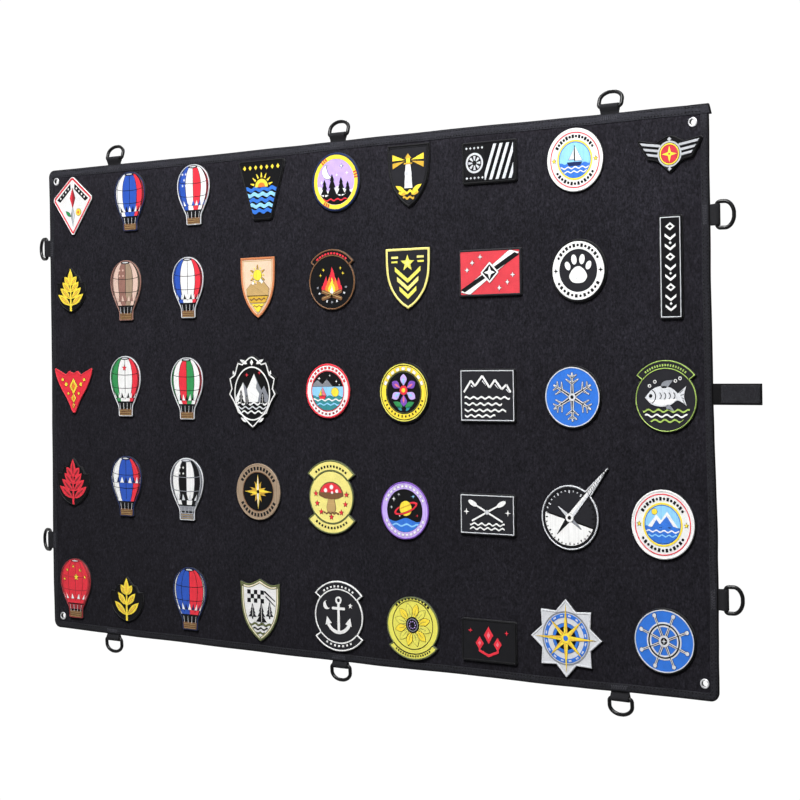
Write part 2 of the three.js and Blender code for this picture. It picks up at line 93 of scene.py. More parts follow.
class Nodes:
    """Short hands for building a node tree."""

    def __init__(self, name):
        self.mat = bpy.data.materials.new(name)
        self.mat.use_nodes = True
        self.t = self.mat.node_tree
        self.t.nodes.clear()
        self.out = self.n("ShaderNodeOutputMaterial")
        self.bsdf = self.n("ShaderNodeBsdfPrincipled")
        self.link(self.bsdf.outputs[0], self.out.inputs[0])

    def n(self, kind, **kw):
        node = self.t.nodes.new(kind)
        for k, v in kw.items():
            setattr(node, k, v)
        return node

    def link(self, a, b):
        self.t.links.new(a, b)

    def put(self, socket, value):
        if hasattr(value, "is_output"):
            self.link(value, socket)
        else:
            socket.default_value = value

    def math(self, op, a, b=0.0, c=0.0):
        node = self.n("ShaderNodeMath", operation=op)
        for s, v in zip(node.inputs, (a, b, c)):
            self.put(s, v)
        return node.outputs[0]

    def coords(self):
        return self.n("ShaderNodeTexCoord").outputs["Object"]

    def scaled(self, v, s):
        node = self.n("ShaderNodeVectorMath", operation="MULTIPLY")
        self.put(node.inputs[0], v)
        node.inputs[1].default_value = s
        return node.outputs[0]

    def xyz(self, v):
        node = self.n("ShaderNodeSeparateXYZ")
        self.put(node.inputs[0], v)
        return node.outputs

    def noise(self, v, scale, detail=3.0, rough=0.55, distort=0.0):
        node = self.n("ShaderNodeTexNoise")
        self.put(node.inputs["Vector"], v)
        node.inputs["Scale"].default_value = scale
        node.inputs["Detail"].default_value = detail
        node.inputs["Roughness"].default_value = rough
        node.inputs["Distortion"].default_value = distort
        return node.outputs["Fac"]

    def voronoi(self, v, scale, feature="F1"):
        node = self.n("ShaderNodeTexVoronoi", feature=feature)
        self.put(node.inputs["Vector"], v)
        node.inputs["Scale"].default_value = scale
        return node.outputs["Distance"]

    def remap(self, v, a, b, c, d):
        node = self.n("ShaderNodeMapRange")
        self.put(node.inputs[0], v)
        for i, x in enumerate((a, b, c, d)):
            node.inputs[i + 1].default_value = x
        return node.outputs[0]

    def ramp(self, v, stops):
        node = self.n("ShaderNodeValToRGB")
        self.put(node.inputs[0], v)
        e = node.color_ramp.elements
        while len(e) < len(stops):
            e.new(0.5)
        for el, (p, c) in zip(e, stops):
            el.position, el.color = p, c
        return node.outputs[0]

    def mix(self, f, a, b, mode="MIX"):
        node = self.n("ShaderNodeMix", data_type="RGBA", blend_type=mode)
        self.put(node.inputs["Factor"], f)
        self.put(node.inputs[6], a)
        self.put(node.inputs[7], b)
        return node.outputs[2]

    def bump(self, h, strength, distance, normal=None):
        node = self.n("ShaderNodeBump")
        node.inputs["Strength"].default_value = strength
        node.inputs["Distance"].default_value = distance
        self.put(node.inputs["Height"], h)
        if normal is not None:
            self.link(normal, node.inputs["Normal"])
        return node.outputs[0]

    def attr(self, name):
        return self.n("ShaderNodeAttribute", attribute_name=name).outputs["Fac"]

    def set(self, **kw):
        names = {"color": "Base Color", "rough": "Roughness", "metal": "Metallic", "normal": "Normal",
                 "sheen": "Sheen Weight", "sheen_rough": "Sheen Roughness", "sheen_tint": "Sheen Tint",
                 "spec": "Specular IOR Level", "coat": "Coat Weight", "coat_rough": "Coat Roughness"}
        for k, v in kw.items():
            self.put(self.bsdf.inputs[names[k]], v)
        return self.mat


def mat_loop():
    """Brushed loop pile: matted fibres with upright pile streaks and slow random tone changes; painted light from above
    makes it lighter towards the top.
    """
    q = Nodes("loop_pile")
    p = q.coords()
    streak = q.noise(q.scaled(p, (1.0, 1.0, 0.22)), 900, 4, 0.65, 0.6)
    fibre = q.noise(p, 1600, 4, 0.7, 1.2)
    tuft = q.noise(q.scaled(p, (1.0, 1.0, 0.7)), 260, 3, 0.6, 0.8)
    grain = q.noise(q.scaled(p, (1.0, 1.0, 0.8)), 430, 2, 0.6, 0.4)
    cloud = q.noise(p, 7.0, 3, 0.5)
    patchy = q.noise(q.scaled(p, (1.0, 1.0, 0.6)), 60, 3, 0.6)
    h = q.math("ADD", q.math("MULTIPLY", streak, 0.5), q.math("MULTIPLY", fibre, 0.35))
    h = q.math("ADD", h, q.math("MULTIPLY", tuft, 0.45))
    tone = q.remap(h, 0.38, 0.92, 0.0, 1.0)
    c = q.ramp(tone, [(0.0, rgb("0c0b0e")), (0.45, rgb("19181c")), (0.78, rgb("28272d")), (1.0, rgb("403f47"))])
    c = q.mix(1.0, c, q.ramp(q.math("ADD", q.math("MULTIPLY", cloud, 0.45), q.math("MULTIPLY", patchy, 0.55)),
                             [(0.3, (0.62, 0.62, 0.62, 1)), (0.7, (1.0, 0.99, 1.0, 1))]), "MULTIPLY")
    c = q.mix(1.0, c, q.ramp(grain, [(0.3, (0.62, 0.62, 0.62, 1)), (0.7, (1.4, 1.4, 1.42, 1))]), "MULTIPLY")
    # painted light from above: the pile's colour is made lighter towards the top of the board
    painted_light_from_above = q.remap(q.xyz(p)[2], -0.35, 0.35, 0.0, 1.0)
    c = q.mix(1.0, c, q.ramp(painted_light_from_above, [(0.0, (0.94, 0.94, 0.94, 1)), (0.5, (1.0, 1.0, 1.0, 1)), (0.8, (1.1, 1.1, 1.1, 1)), (1.0, (1.32, 1.32, 1.31, 1))]), "MULTIPLY")
    n = q.bump(h, 0.9, 0.0007)
    return q.set(color=c, rough=0.95, normal=n, sheen=0.03, sheen_rough=0.6, sheen_tint=(0.55, 0.54, 0.62, 1), spec=0.04)


def mat_oxford():
    """Coated plain-weave cloth of the back."""
    q = Nodes("woven_back")
    x, y, z = q.xyz(q.coords())
    k = TAU / 0.0011
    a = q.math("SINE", q.math("MULTIPLY", x, k))
    b = q.math("SINE", q.math("MULTIPLY", z, k))
    w = q.math("MULTIPLY", a, b)
    slub = q.noise(q.scaled(q.coords(), (0.12, 1.0, 1.0)), 700, 3, 0.6)
    slub2 = q.noise(q.scaled(q.coords(), (1.0, 1.0, 0.12)), 700, 3, 0.6)
    cloud = q.noise(q.coords(), 9, 3, 0.5)
    h = q.math("ADD", q.math("MULTIPLY", w, 0.35), q.math("ADD", q.math("MULTIPLY", slub, 0.5), q.math("MULTIPLY", slub2, 0.5)))
    c = q.ramp(q.remap(h, 0.1, 0.95, 0, 1), [(0.0, rgb("0d0d0f")), (0.5, rgb("1c1c1f")), (1.0, rgb("34343a"))])
    c = q.mix(1.0, c, q.ramp(cloud, [(0.3, (0.8, 0.8, 0.8, 1)), (0.7, (1.15, 1.15, 1.17, 1))]), "MULTIPLY")
    weft = q.noise(q.scaled(q.coords(), (0.1, 1.0, 1.0)), 330, 2, 0.6)
    warp = q.noise(q.scaled(q.coords(), (1.0, 1.0, 0.1)), 330, 2, 0.6)
    yarn = q.math("ADD", q.math("MULTIPLY", weft, 0.5), q.math("MULTIPLY", warp, 0.5))
    c = q.mix(1.0, c, q.ramp(yarn, [(0.36, (0.6, 0.6, 0.6, 1)), (0.64, (1.45, 1.45, 1.47, 1))]), "MULTIPLY")
    crease = q.noise(q.scaled(q.coords(), (1.0, 1.0, 0.6)), 6.0, 3, 0.5, 0.8)
    n = q.bump(h, 0.7, 0.0003, q.bump(crease, 0.6, 0.012))
    return q.set(color=c, rough=q.remap(slub, 0.3, 0.7, 0.5, 0.72), normal=n, spec=0.32)


def mat_tape(name="binding_tape", lo="0d0d0f", mid="1a1a1d", hi="36363c"):
    """Ribbed woven tape; ribs run across it, from the length stored on the mesh."""
    q = Nodes(name)
    s = q.attr("arc")
    p = q.coords()
    fuzz = q.noise(p, 1300, 3, 0.65)
    wob = q.noise(p, 160, 2, 0.5)
    rib = q.math("SINE", q.math("ADD", q.math("MULTIPLY", s, TAU / 0.0013), q.math("MULTIPLY", wob, 2.0)))
    h = q.math("ADD", q.math("MULTIPLY", rib, 0.22), q.math("MULTIPLY", fuzz, 0.6))
    cloud = q.noise(p, 14, 3, 0.55)
    c = q.ramp(q.remap(h, -0.05, 0.65, 0, 1), [(0.0, rgb(lo)), (0.55, rgb(mid)), (1.0, rgb(hi))])
    c = q.mix(1.0, c, q.ramp(cloud, [(0.3, (0.85, 0.85, 0.85, 1)), (0.7, (1.14, 1.14, 1.15, 1))]), "MULTIPLY")
    pick = q.noise(p, 430, 2, 0.6, 0.5)
    c = q.mix(1.0, c, q.ramp(pick, [(0.3, (0.62, 0.62, 0.62, 1)), (0.7, (1.4, 1.4, 1.42, 1))]), "MULTIPLY")
    # painted light from above: the tape is a little darker about the middle height and much lighter along the top edge
    wear_and_top_light = q.remap(q.xyz(p)[2], -0.35, 0.35, 0.0, 1.0)
    c = q.mix(1.0, c, q.ramp(wear_and_top_light, [(0.0, (1.0, 1.0, 1.0, 1)), (0.5, (0.93, 0.93, 0.94, 1)), (0.955, (1.0, 1.0, 1.02, 1)), (0.98, (1.62, 1.63, 1.66, 1))]), "MULTIPLY")
    # painted shade: the tape is made near black along its outer fold and on the outer face of its squared end
    c = q.mix(1.0, c, q.ramp(q.attr("fold"), [(0.2, (1, 1, 1, 1)), (0.9, (0.1, 0.1, 0.1, 1))]), "MULTIPLY")
    return q.set(color=c, rough=0.84, normal=q.bump(h, 0.8, 0.0003), sheen=0.03, sheen_rough=0.5,
                 sheen_tint=(0.6, 0.6, 0.64, 1), spec=0.1)


def mat_webbing(name="webbing", shade_k=1.0):
    """Heavy webbing: a basket of fat warp and weft yarns."""
    q = Nodes(name)
    s, u = q.attr("arc"), q.attr("across")
    k = TAU / 0.0022
    a = q.math("SINE", q.math("MULTIPLY", s, k))
    b = q.math("SINE", q.math("MULTIPLY", u, k * 1.15))
    w = q.math("MULTIPLY", a, b)
    fuzz = q.noise(q.coords(), 1500, 3, 0.65)
    h = q.math("ADD", q.math("MULTIPLY", w, 0.32), q.math("MULTIPLY", fuzz, 0.55))
    # the tone factor darkens the whole copy as painted shade; 1.0 leaves the webbing's own tone
    c = q.ramp(q.remap(h, -0.1, 0.65, 0, 1), [(0.0, rgb("0a0a0b", shade_k)), (0.55, rgb("18181a", shade_k)), (1.0, rgb("303035", shade_k))])
    return q.set(color=c, rough=0.84, normal=q.bump(h, 0.9, 0.00035), sheen=0.03, sheen_rough=0.5,
                 sheen_tint=(0.6, 0.6, 0.64, 1), spec=0.12)


def mat_pad():
    """Napped fastening tape on the strap."""
    q = Nodes("strap_pad")
    p = q.coords()
    tuft = q.voronoi(p, 1250)
    fibre = q.noise(p, 1900, 4, 0.7, 1.0)
    blot = q.noise(p, 420, 3, 0.6, 0.5)
    h = q.math("ADD", q.math("MULTIPLY", tuft, 0.7), q.math("ADD", q.math("MULTIPLY", fibre, 0.4), q.math("MULTIPLY", blot, 0.5)))
    c = q.ramp(q.remap(h, 0.4, 1.15, 0, 1), [(0.0, rgb("0c0c0e")), (0.5, rgb("1a1a1d")), (1.0, rgb("37373c"))])
    return q.set(color=c, rough=0.95, normal=q.bump(h, 0.7, 0.0004), sheen=0.08, sheen_rough=0.5,
                 sheen_tint=(0.6, 0.6, 0.62, 1), spec=0.08)


def mat_stitch(name="black_thread", lo="0f0f11", hi="29292d"):
    q = Nodes(name)
    p = q.coords()
    twist = q.noise(p, 2600, 2, 0.6)
    c = q.ramp(twist, [(0.25, rgb(lo)), (0.75, rgb(hi))])
    return q.set(color=c, rough=0.6, normal=q.bump(twist, 0.5, 0.0001), spec=0.2)


def mat_sewing():
    """Thread along the binding, made lighter along the top edge like the tape as painted light from above; near black
    at the needle holes and stitch ends as painted shade.
    """
    q = Nodes("binding_thread")
    p = q.coords()
    twist = q.noise(p, 2600, 2, 0.6)
    c = q.ramp(twist, [(0.25, rgb("141416")), (0.75, rgb("2a2a2e"))])
    # painted light from above: the thread is made lighter along the top edge, as on the tape
    wear_and_top_light = q.remap(q.xyz(p)[2], -0.35, 0.35, 0.0, 1.0)
    c = q.mix(1.0, c, q.ramp(wear_and_top_light, [(0.0, (1.0, 1.0, 1.0, 1)), (0.955, (1.0, 1.0, 1.02, 1)), (0.98, (1.62, 1.63, 1.66, 1))]), "MULTIPLY")
    # painted shade: near black where the hole attribute marks needle holes and stitch ends
    c = q.mix(q.attr("hole"), c, q.ramp(twist, [(0.25, rgb("030303")), (0.75, rgb("08080a"))]))
    return q.set(color=c, rough=0.75, normal=q.bump(twist, 0.5, 0.0001), spec=0.1)


def mat_ring():
    """Black coat on bent wire, rubbed a little in random patches."""
    q = Nodes("ring_metal")
    p = q.coords()
    fine = q.noise(p, 900, 3, 0.6)
    broad = q.noise(p, 120, 3, 0.6)
    wear_and_top_light = q.ramp(q.math("ADD", q.math("MULTIPLY", fine, 0.5), q.math("MULTIPLY", broad, 0.5)),
                 [(0.57, rgb("09090a")), (0.7, rgb("19191c"))])
    return q.set(color=wear_and_top_light, rough=q.remap(broad, 0.3, 0.7, 0.28, 0.42), metal=0.0,
                 normal=q.bump(fine, 0.12, 0.0002), spec=0.26)


def mat_eyelet():
    q = Nodes("eyelet_metal")
    p = q.coords()
    fine = q.noise(q.scaled(p, (1, 6, 1)), 1400, 3, 0.6)
    stain = q.noise(p, 300, 3, 0.6)
    bright = q.ramp(stain, [(0.3, rgb("b4b4b7")), (0.7, rgb("e2e2e4"))])
    # painted shade: the inside of the barrel is made dark
    c = q.mix(q.attr("bore"), bright, q.ramp(stain, [(0.3, rgb("161617")), (0.7, rgb("2c2c2e"))]))
    return q.set(color=c, metal=0.45, rough=q.remap(fine, 0.3, 0.7, 0.24, 0.4), normal=q.bump(fine, 0.1, 0.0001))


_threads = {}
PALETTE = {
    "white": "dddddc", "cream": "e6d9b8", "silver": "c6c8cc", "grey": "7a7d84", "charcoal": "222226", "soot": "17171a", "black": "0e0e10",
    "red": "d62838", "dred": "8a1822", "yellow": "ead03a", "gold": "c9a032", "amber": "e2b23c", "orange": "e0782a", "blue": "2a6ac6",
    "lblue": "86c0e6", "navy": "1a2850", "lilac": "b9a0e2", "purple": "7448ac", "green": "2a8549", "lime": "9ab658",
    "olive": "5e653a", "brown": "6f4c2e", "tan": "b3945f", "pink": "de6f7c", "teal": "2c7f86", "lemon": "dad45a", "cobalt": "204cac", "straw": "e2d67c", "wood": "8a6257", "blush": "cdb0a2", "sand": "dcc0a6", "copper": "bd7448", "brick": "c83a44", "dun": "95806a", "steel": "a9abb0", "crimson": "b81c32",
}


def thread(colour):
    """Embroidery thread laid side by side; the distance across it is stored on the mesh."""
    if colour in _threads:
        return _threads[colour]
    q = Nodes("thread_" + colour)
    p = q.coords()
    s = q.attr("run")
    wob = q.noise(p, 520, 2, 0.55)
    yarn = q.math("SINE", q.math("ADD", q.math("MULTIPLY", s, TAU / 0.00085), q.math("MULTIPLY", wob, 3.2)))
    bundle = q.n("ShaderNodeTexNoise", noise_dimensions="1D")
    q.put(bundle.inputs["W"], q.math("ADD", s, q.math("MULTIPLY", wob, 0.0012)))
    bundle.inputs["Scale"].default_value = 430.0
    bundle.inputs["Detail"].default_value = 2.0
    fuzz = q.noise(p, 1900, 3, 0.65)
    blot = q.noise(p, 110, 2, 0.5)
    f = q.math("ADD", q.math("MULTIPLY", yarn, 0.2), q.math("ADD", q.math("MULTIPLY", fuzz, 0.34), q.math("MULTIPLY", blot, 0.22)))
    f = q.math("ADD", f, q.math("MULTIPLY", bundle.outputs["Fac"], 0.44))
    base = PALETTE[colour]
    dark = 0.42 if colour not in ("black", "soot", "charcoal", "navy", "white") else 0.55
    c = q.ramp(q.remap(f, 0.15, 0.85, 0, 1), [(0.0, rgb(base, dark)), (0.5, rgb(base, 0.94)), (1.0, rgb(base, 1.16))])
    dim = colour in ("black", "soot", "charcoal", "navy")
    q.set(color=c, rough=q.remap(yarn, -1, 1, 0.6, 0.42), normal=q.bump(f, 0.7, 0.00022), sheen=0.02 if dim else 0.1,
          sheen_rough=0.4, spec=0.14 if dim else 0.34)
    _threads[colour] = q.mat
    return q.mat


_twills = {}


def twill(colour):
    """Ground cloth of a patch: fine diagonal twill under the stitching."""
    if colour in _twills:
        return _twills[colour]
    q = Nodes("twill_" + colour)
    p = q.coords()
    x, y, z = q.xyz(p)
    d = q.math("SINE", q.math("MULTIPLY", q.math("ADD", x, z), TAU / 0.0009))
    e = q.math("SINE", q.math("MULTIPLY", q.math("SUBTRACT", x, z), TAU / 0.0017))
    fuzz = q.noise(p, 1700, 3, 0.65)
    blot = q.noise(p, 90, 2, 0.5)
    f = q.math("ADD", q.math("MULTIPLY", q.math("ADD", d, q.math("MULTIPLY", e, 0.5)), 0.16),
               q.math("ADD", q.math("MULTIPLY", fuzz, 0.45), q.math("MULTIPLY", blot, 0.3)))
    base = PALETTE[colour]
    c = q.ramp(q.remap(f, 0.05, 0.75, 0, 1), [(0.0, rgb(base, 0.55)), (0.5, rgb(base, 0.9)), (1.0, rgb(base, 1.1))])
    dim = colour in ("black", "soot", "charcoal", "navy")
    q.set(color=c, rough=0.82, normal=q.bump(f, 0.5, 0.00015), sheen=0.02 if dim else 0.08, sheen_rough=0.5, spec=0.1 if dim else 0.2)
    _twills[colour] = q.mat
    return q.mat


def mat_hook():
    """Hook tape behind a patch: rows of stiff little hooks."""
    q = Nodes("hook_backing")
    p = q.coords()
    dots = q.voronoi(q.scaled(p, (1.0, 1.0, 0.7)), 900)
    c = q.ramp(dots, [(0.0, rgb("2e2e32")), (0.5, rgb("161618")), (1.0, rgb("0b0b0c"))])
    return q.set(color=c, rough=0.6, normal=q.bump(dots, 0.8, 0.0006), spec=0.3)


LOOP, OXFORD, TAPE, WEB = mat_loop(), mat_oxford(), mat_tape(), mat_webbing()
# painted shade: the strap's webbing is a darker copy of the tab webbing, at 0.22 of its tone
SHADED_STRAP_WEB = mat_webbing("strap_webbing", 0.22)
PAD, STITCH, RING, EYELET, HOOK = mat_pad(), mat_stitch(), mat_ring(), mat_eyelet(), mat_hook()
TACK = mat_stitch("tack_thread", "232327", "4c4c53")


# --------------------------------------------------------------------------
# mesh building, in millimetres
# --------------------------------------------------------------------------
class Mesh:
    def __init__(self, attrs=()):
        self.v, self.f, self.m = [], [], []
        self.attrs = {a: [] for a in attrs}

    def add(self, verts, faces, mat=0, **attrs):
        o = len(self.v)
        self.v.extend(verts)
        self.f.extend(tuple(i + o for i in f) for f in faces)
        self.m.extend([mat] * len(faces))
        for k, store in self.attrs.items():
            val = attrs.get(k, 0.0)
            store.extend(val if isinstance(val, (list, tuple)) else [val] * len(verts))

    def object(self, name, mats, sharp=38.0, body="board", replaces=(), slot=None):
        me = bpy.data.meshes.new(name)
        me.from_pydata([(x * MM, y * MM, z * MM) for x, y, z in self.v], [], self.f)
        for mt in mats:
            me.materials.append(mt)
        me.polygons.foreach_set("material_index", self.m)
        me.polygons.foreach_set("use_smooth", [True] * len(me.polygons))
        for k, store in self.attrs.items():
            me.attributes.new(k, "FLOAT", "POINT").data.foreach_set("value", store)
        me.validate()
        me.update()
        me.set_sharp_from_angle(angle=math.radians(sharp))
        ob = bpy.data.objects.new(name, me)
        bpy.context.scene.collection.objects.link(ob)
        if body:
            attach(ob, body)
        if replaces:
            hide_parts(*replaces)
        return ob


def grid_faces(n, k, close_n=True, close_k=True):
    """Quads over n rings of k points."""
    out = []
    for i in range(n if close_n else n - 1):
        for j in range(k if close_k else k - 1):
            a, b = i * k + j, i * k + (j + 1) % k
            c, d = ((i + 1) % n) * k + (j + 1) % k, ((i + 1) % n) * k + j
            out.append((a, b, c, d))
    return out


def area2(p):
    return sum(p[i][0] * p[(i + 1) % len(p)][1] - p[(i + 1) % len(p)][0] * p[i][1] for i in range(len(p)))


def ccw(p):
    return p if area2(p) > 0 else p[::-1]


def tess(loops):
    """Triangles over a polygon, with holes after the first loop, all anticlockwise."""
    pts = [q for l in loops for q in l]
    tris = tessellate_polygon([[Vector((a, b, 0)) for a, b in l] for l in loops])
    out = []
    for i, j, k in tris:
        s = (pts[j][0] - pts[i][0]) * (pts[k][1] - pts[i][1]) - (pts[k][0] - pts[i][0]) * (pts[j][1] - pts[i][1])
        if abs(s) > 1e-12:
            out.append((i, j, k) if s > 0 else (i, k, j))
    return out


def offset(p, d):
    """Moves an anticlockwise outline inward by d (outward if negative), with short mitres."""
    n, out = len(p), []
    for i in range(n):
        (ax, ay), (bx, by), (cx, cy) = p[i - 1], p[i], p[(i + 1) % n]
        l1, l2 = math.hypot(bx - ax, by - ay) or 1e-9, math.hypot(cx - bx, cy - by) or 1e-9
        n1, n2 = (-(by - ay) / l1, (bx - ax) / l1), (-(cy - by) / l2, (cx - bx) / l2)
        mx, my = n1[0] + n2[0], n1[1] + n2[1]
        k = d * 2 / max(mx * mx + my * my, 0.9)
        out.append((bx + mx * k, by + my * k))
    return out


def resample(p, step):
    """Points about step apart round a closed outline; corners stay."""
    out = []
    for i in range(len(p)):
        a, b = p[i], p[(i + 1) % len(p)]
        d = math.hypot(b[0] - a[0], b[1] - a[1])
        m = max(1, round(d / step))
        out.extend((a[0] + (b[0] - a[0]) * t / m, a[1] + (b[1] - a[1]) * t / m) for t in range(m))
    return out


def even(p, step):
    """Points exactly evenly spaced round a closed outline."""
    seg = [math.hypot(p[(i + 1) % len(p)][0] - p[i][0], p[(i + 1) % len(p)][1] - p[i][1]) for i in range(len(p))]
    total = sum(seg)
    n = max(8, round(total / step))
    out, i, run = [], 0, 0.0
    for k in range(n):
        t = total * k / n
        while run + seg[i] < t - 1e-9:
            run += seg[i]
            i += 1
        f = (t - run) / (seg[i] or 1e-9)
        a, b = p[i], p[(i + 1) % len(p)]
        out.append((a[0] + (b[0] - a[0]) * f, a[1] + (b[1] - a[1]) * f))
    return out


def catmull(p, per=6, closed=True):
    n, out = len(p), []
    for i in range(n if closed else n - 1):
        if closed:
            a, b, c, d = p[i - 1], p[i], p[(i + 1) % n], p[(i + 2) % n]
        else:
            a, b, c, d = p[max(i - 1, 0)], p[i], p[i + 1], p[min(i + 2, n - 1)]
        for k in range(per):
            t = k / per
            out.append(tuple(0.5 * (2 * b[j] + (c[j] - a[j]) * t + (2 * a[j] - 5 * b[j] + 4 * c[j] - d[j]) * t * t
                                    + (3 * b[j] - a[j] - 3 * c[j] + d[j]) * t ** 3) for j in (0, 1)))
    if not closed:
        out.append(p[-1])
    return out


def clip(subject, convex):
    """The part of subject inside a convex anticlockwise outline."""
    out = list(subject)
    for i in range(len(convex)):
        (ax, ay), (bx, by) = convex[i], convex[(i + 1) % len(convex)]
        side = lambda q: (bx - ax) * (q[1] - ay) - (by - ay) * (q[0] - ax)
        src, out = out, []
        for j in range(len(src)):
            p, q = src[j - 1], src[j]
            sp, sq = side(p), side(q)
            if (sp >= 0) != (sq >= 0):
                t = sp / (sp - sq)
                out.append((p[0] + (q[0] - p[0]) * t, p[1] + (q[1] - p[1]) * t))
            if sq >= 0:
                out.append(q)
        if len(out) < 3:
            return []
    clean = [q for k, q in enumerate(out) if math.hypot(q[0] - out[k - 1][0], q[1] - out[k - 1][1]) > 0.02]
    return clean if len(clean) > 2 else []


# --------------------------------------------------------------------------
# the board's slow unevenness, shared by panels, binding and sewing
# --------------------------------------------------------------------------
RINGS = [       # name, edge, place along it, bar's centre beyond it
    ("top_left", "t", -412.0, 8.4), ("top_middle", "t", 7.0, 8.6), ("top_right", "t", 420.0, 8.4),
    ("bottom_left", "b", -428.0, 8.6), ("bottom_middle", "b", -2.0, 9.2), ("bottom_right", "b", 423.0, 9.2),
    ("left_upper", "l", 231.0, 8.4), ("left_lower", "l", -218.0, 10.6),
    ("right_upper", "r", 219.5, 8.4), ("right_lower", "r", -230.0, 12.4),
]
EYELETS = [("top_left", -W2 + 17.0, H2 - 17.5), ("top_right", W2 - 19.6, H2 - 20.4),
           ("bottom_left", -W2 + 17.0, -H2 + 17.0), ("bottom_right", W2 - 14.4, -H2 + 20.2)]
AT = {s: [a for _, k, a, _ in RINGS if k == s] for s in "tblr"}


def smooth(t):
    t = min(1.0, max(0.0, t))
    return t * t * (3 - 2 * t)


def calm(side, at):
    """0 at a tab, 1 well away from it."""
    return smooth((min(abs(at - a) for a in AT[side]) - 14) / 60)


# how far the soft edges hang out beyond a true rectangle: (place along the edge, mm)
HANG = {
    "b": [(-550, 1.8), (-495, 2.4), (-335, 3.0), (-180, 4.1), (-30, 3.8), (105, 3.5), (198, 2.7), (285, 2.0), (370, 2.3), (450, 0.7), (550, 0.3)],
    "t": [(-550, 0.0), (-400, 0.3), (0, 0.6), (100, 1.3), (170, 1.3), (240, 0.7), (310, 0.0), (550, 0.0)],
    "r": [(-350, 2.4), (-312, 2.7), (-277, 3.5), (-207, 4.0), (-172, 3.4), (-102, 2.6), (-32, 1.7), (10, 0.8), (80, 0.3), (350, 0.0)],
    "l": [(-350, 2.4), (-325, 3.0), (-279, 3.8), (-187, 3.8), (-141, 3.0), (-95, 2.4), (-48, 2.2), (-2, 1.4), (44, 0.4), (350, 0.0)],
}


def hang(side, at):
    k = HANG[side]
    for (a, u), (b, v) in zip(k, k[1:]):
        if at <= b:
            return u + (v - u) * smooth((at - a) / (b - a))
    return k[-1][1]


def sway(x, z):
    """Small drift of the cloth in its own plane, strongest at the free edges."""
    out = {"l": smooth((-x - W2 + 60) / 60), "r": smooth((x - W2 + 60) / 60), "b": smooth((-z - H2 + 60) / 60), "t": smooth((z - H2 + 60) / 60)}
    hx = hang("r", z) * out["r"] - hang("l", z) * out["l"]
    hz = hang("t", x) * out["t"] - hang("b", x) * out["b"]
    ex = max(0.0, (abs(x) - W2 + 160) / 160)
    ez = max(0.0, (abs(z) - H2 + 160) / 160)
    dx = ex * ex * calm("r" if x > 0 else "l", z) * 1.5 * noise.noise((z * 0.0105, 3.1 if x > 0 else 9.7, 0.0))
    dz = ez * ez * calm("t" if z > 0 else "b", x) * 1.5 * noise.noise((x * 0.0085, 5.3 if z > 0 else 1.9, 4.0))
    return dx + hx, dz + hz


def swell(x, z):
    """Out-of-plane waviness, 0 to about 0.5 mm towards the back."""
    return 0.25 + 0.5 * noise.noise((x * 0.0055, z * 0.0072, 2.0)) * 0.5 + 0.25 * noise.noise((x * 0.017, z * 0.014, 7.0)) * 0.5


# --------------------------------------------------------------------------
# panels
# --------------------------------------------------------------------------
def cut_holes(ob, radius):
    """Cuts the four eyelet holes through a panel."""
    c = Mesh()
    n = 40
    for _, x, z in EYELETS:
        verts = [(x + radius * math.cos(TAU * i / n), y, z + radius * math.sin(TAU * i / n)) for y in (-9, 6) for i in range(n)]
        faces = [(i, n + i, n + (i + 1) % n, (i + 1) % n) for i in range(n)]
        faces += [tuple(range(n)), tuple(range(2 * n - 1, n - 1, -1))]
        c.add(verts, faces)
    cutter = c.object("hole_cutter", [ob.data.materials[0]], body=None)
    md = ob.modifiers.new("holes", "BOOLEAN")
    md.operation, md.object, md.solver = "DIFFERENCE", cutter, "EXACT"
    bpy.context.view_layer.update()
    dg = bpy.context.evaluated_depsgraph_get()
    me = bpy.data.meshes.new_from_object(ob.evaluated_get(dg))
    ob.modifiers.remove(md)
    old = ob.data
    ob.data = me
    bpy.data.meshes.remove(old)
    me.name = ob.name
    dead = cutter.data
    bpy.data.objects.remove(cutter)
    bpy.data.meshes.remove(dead)


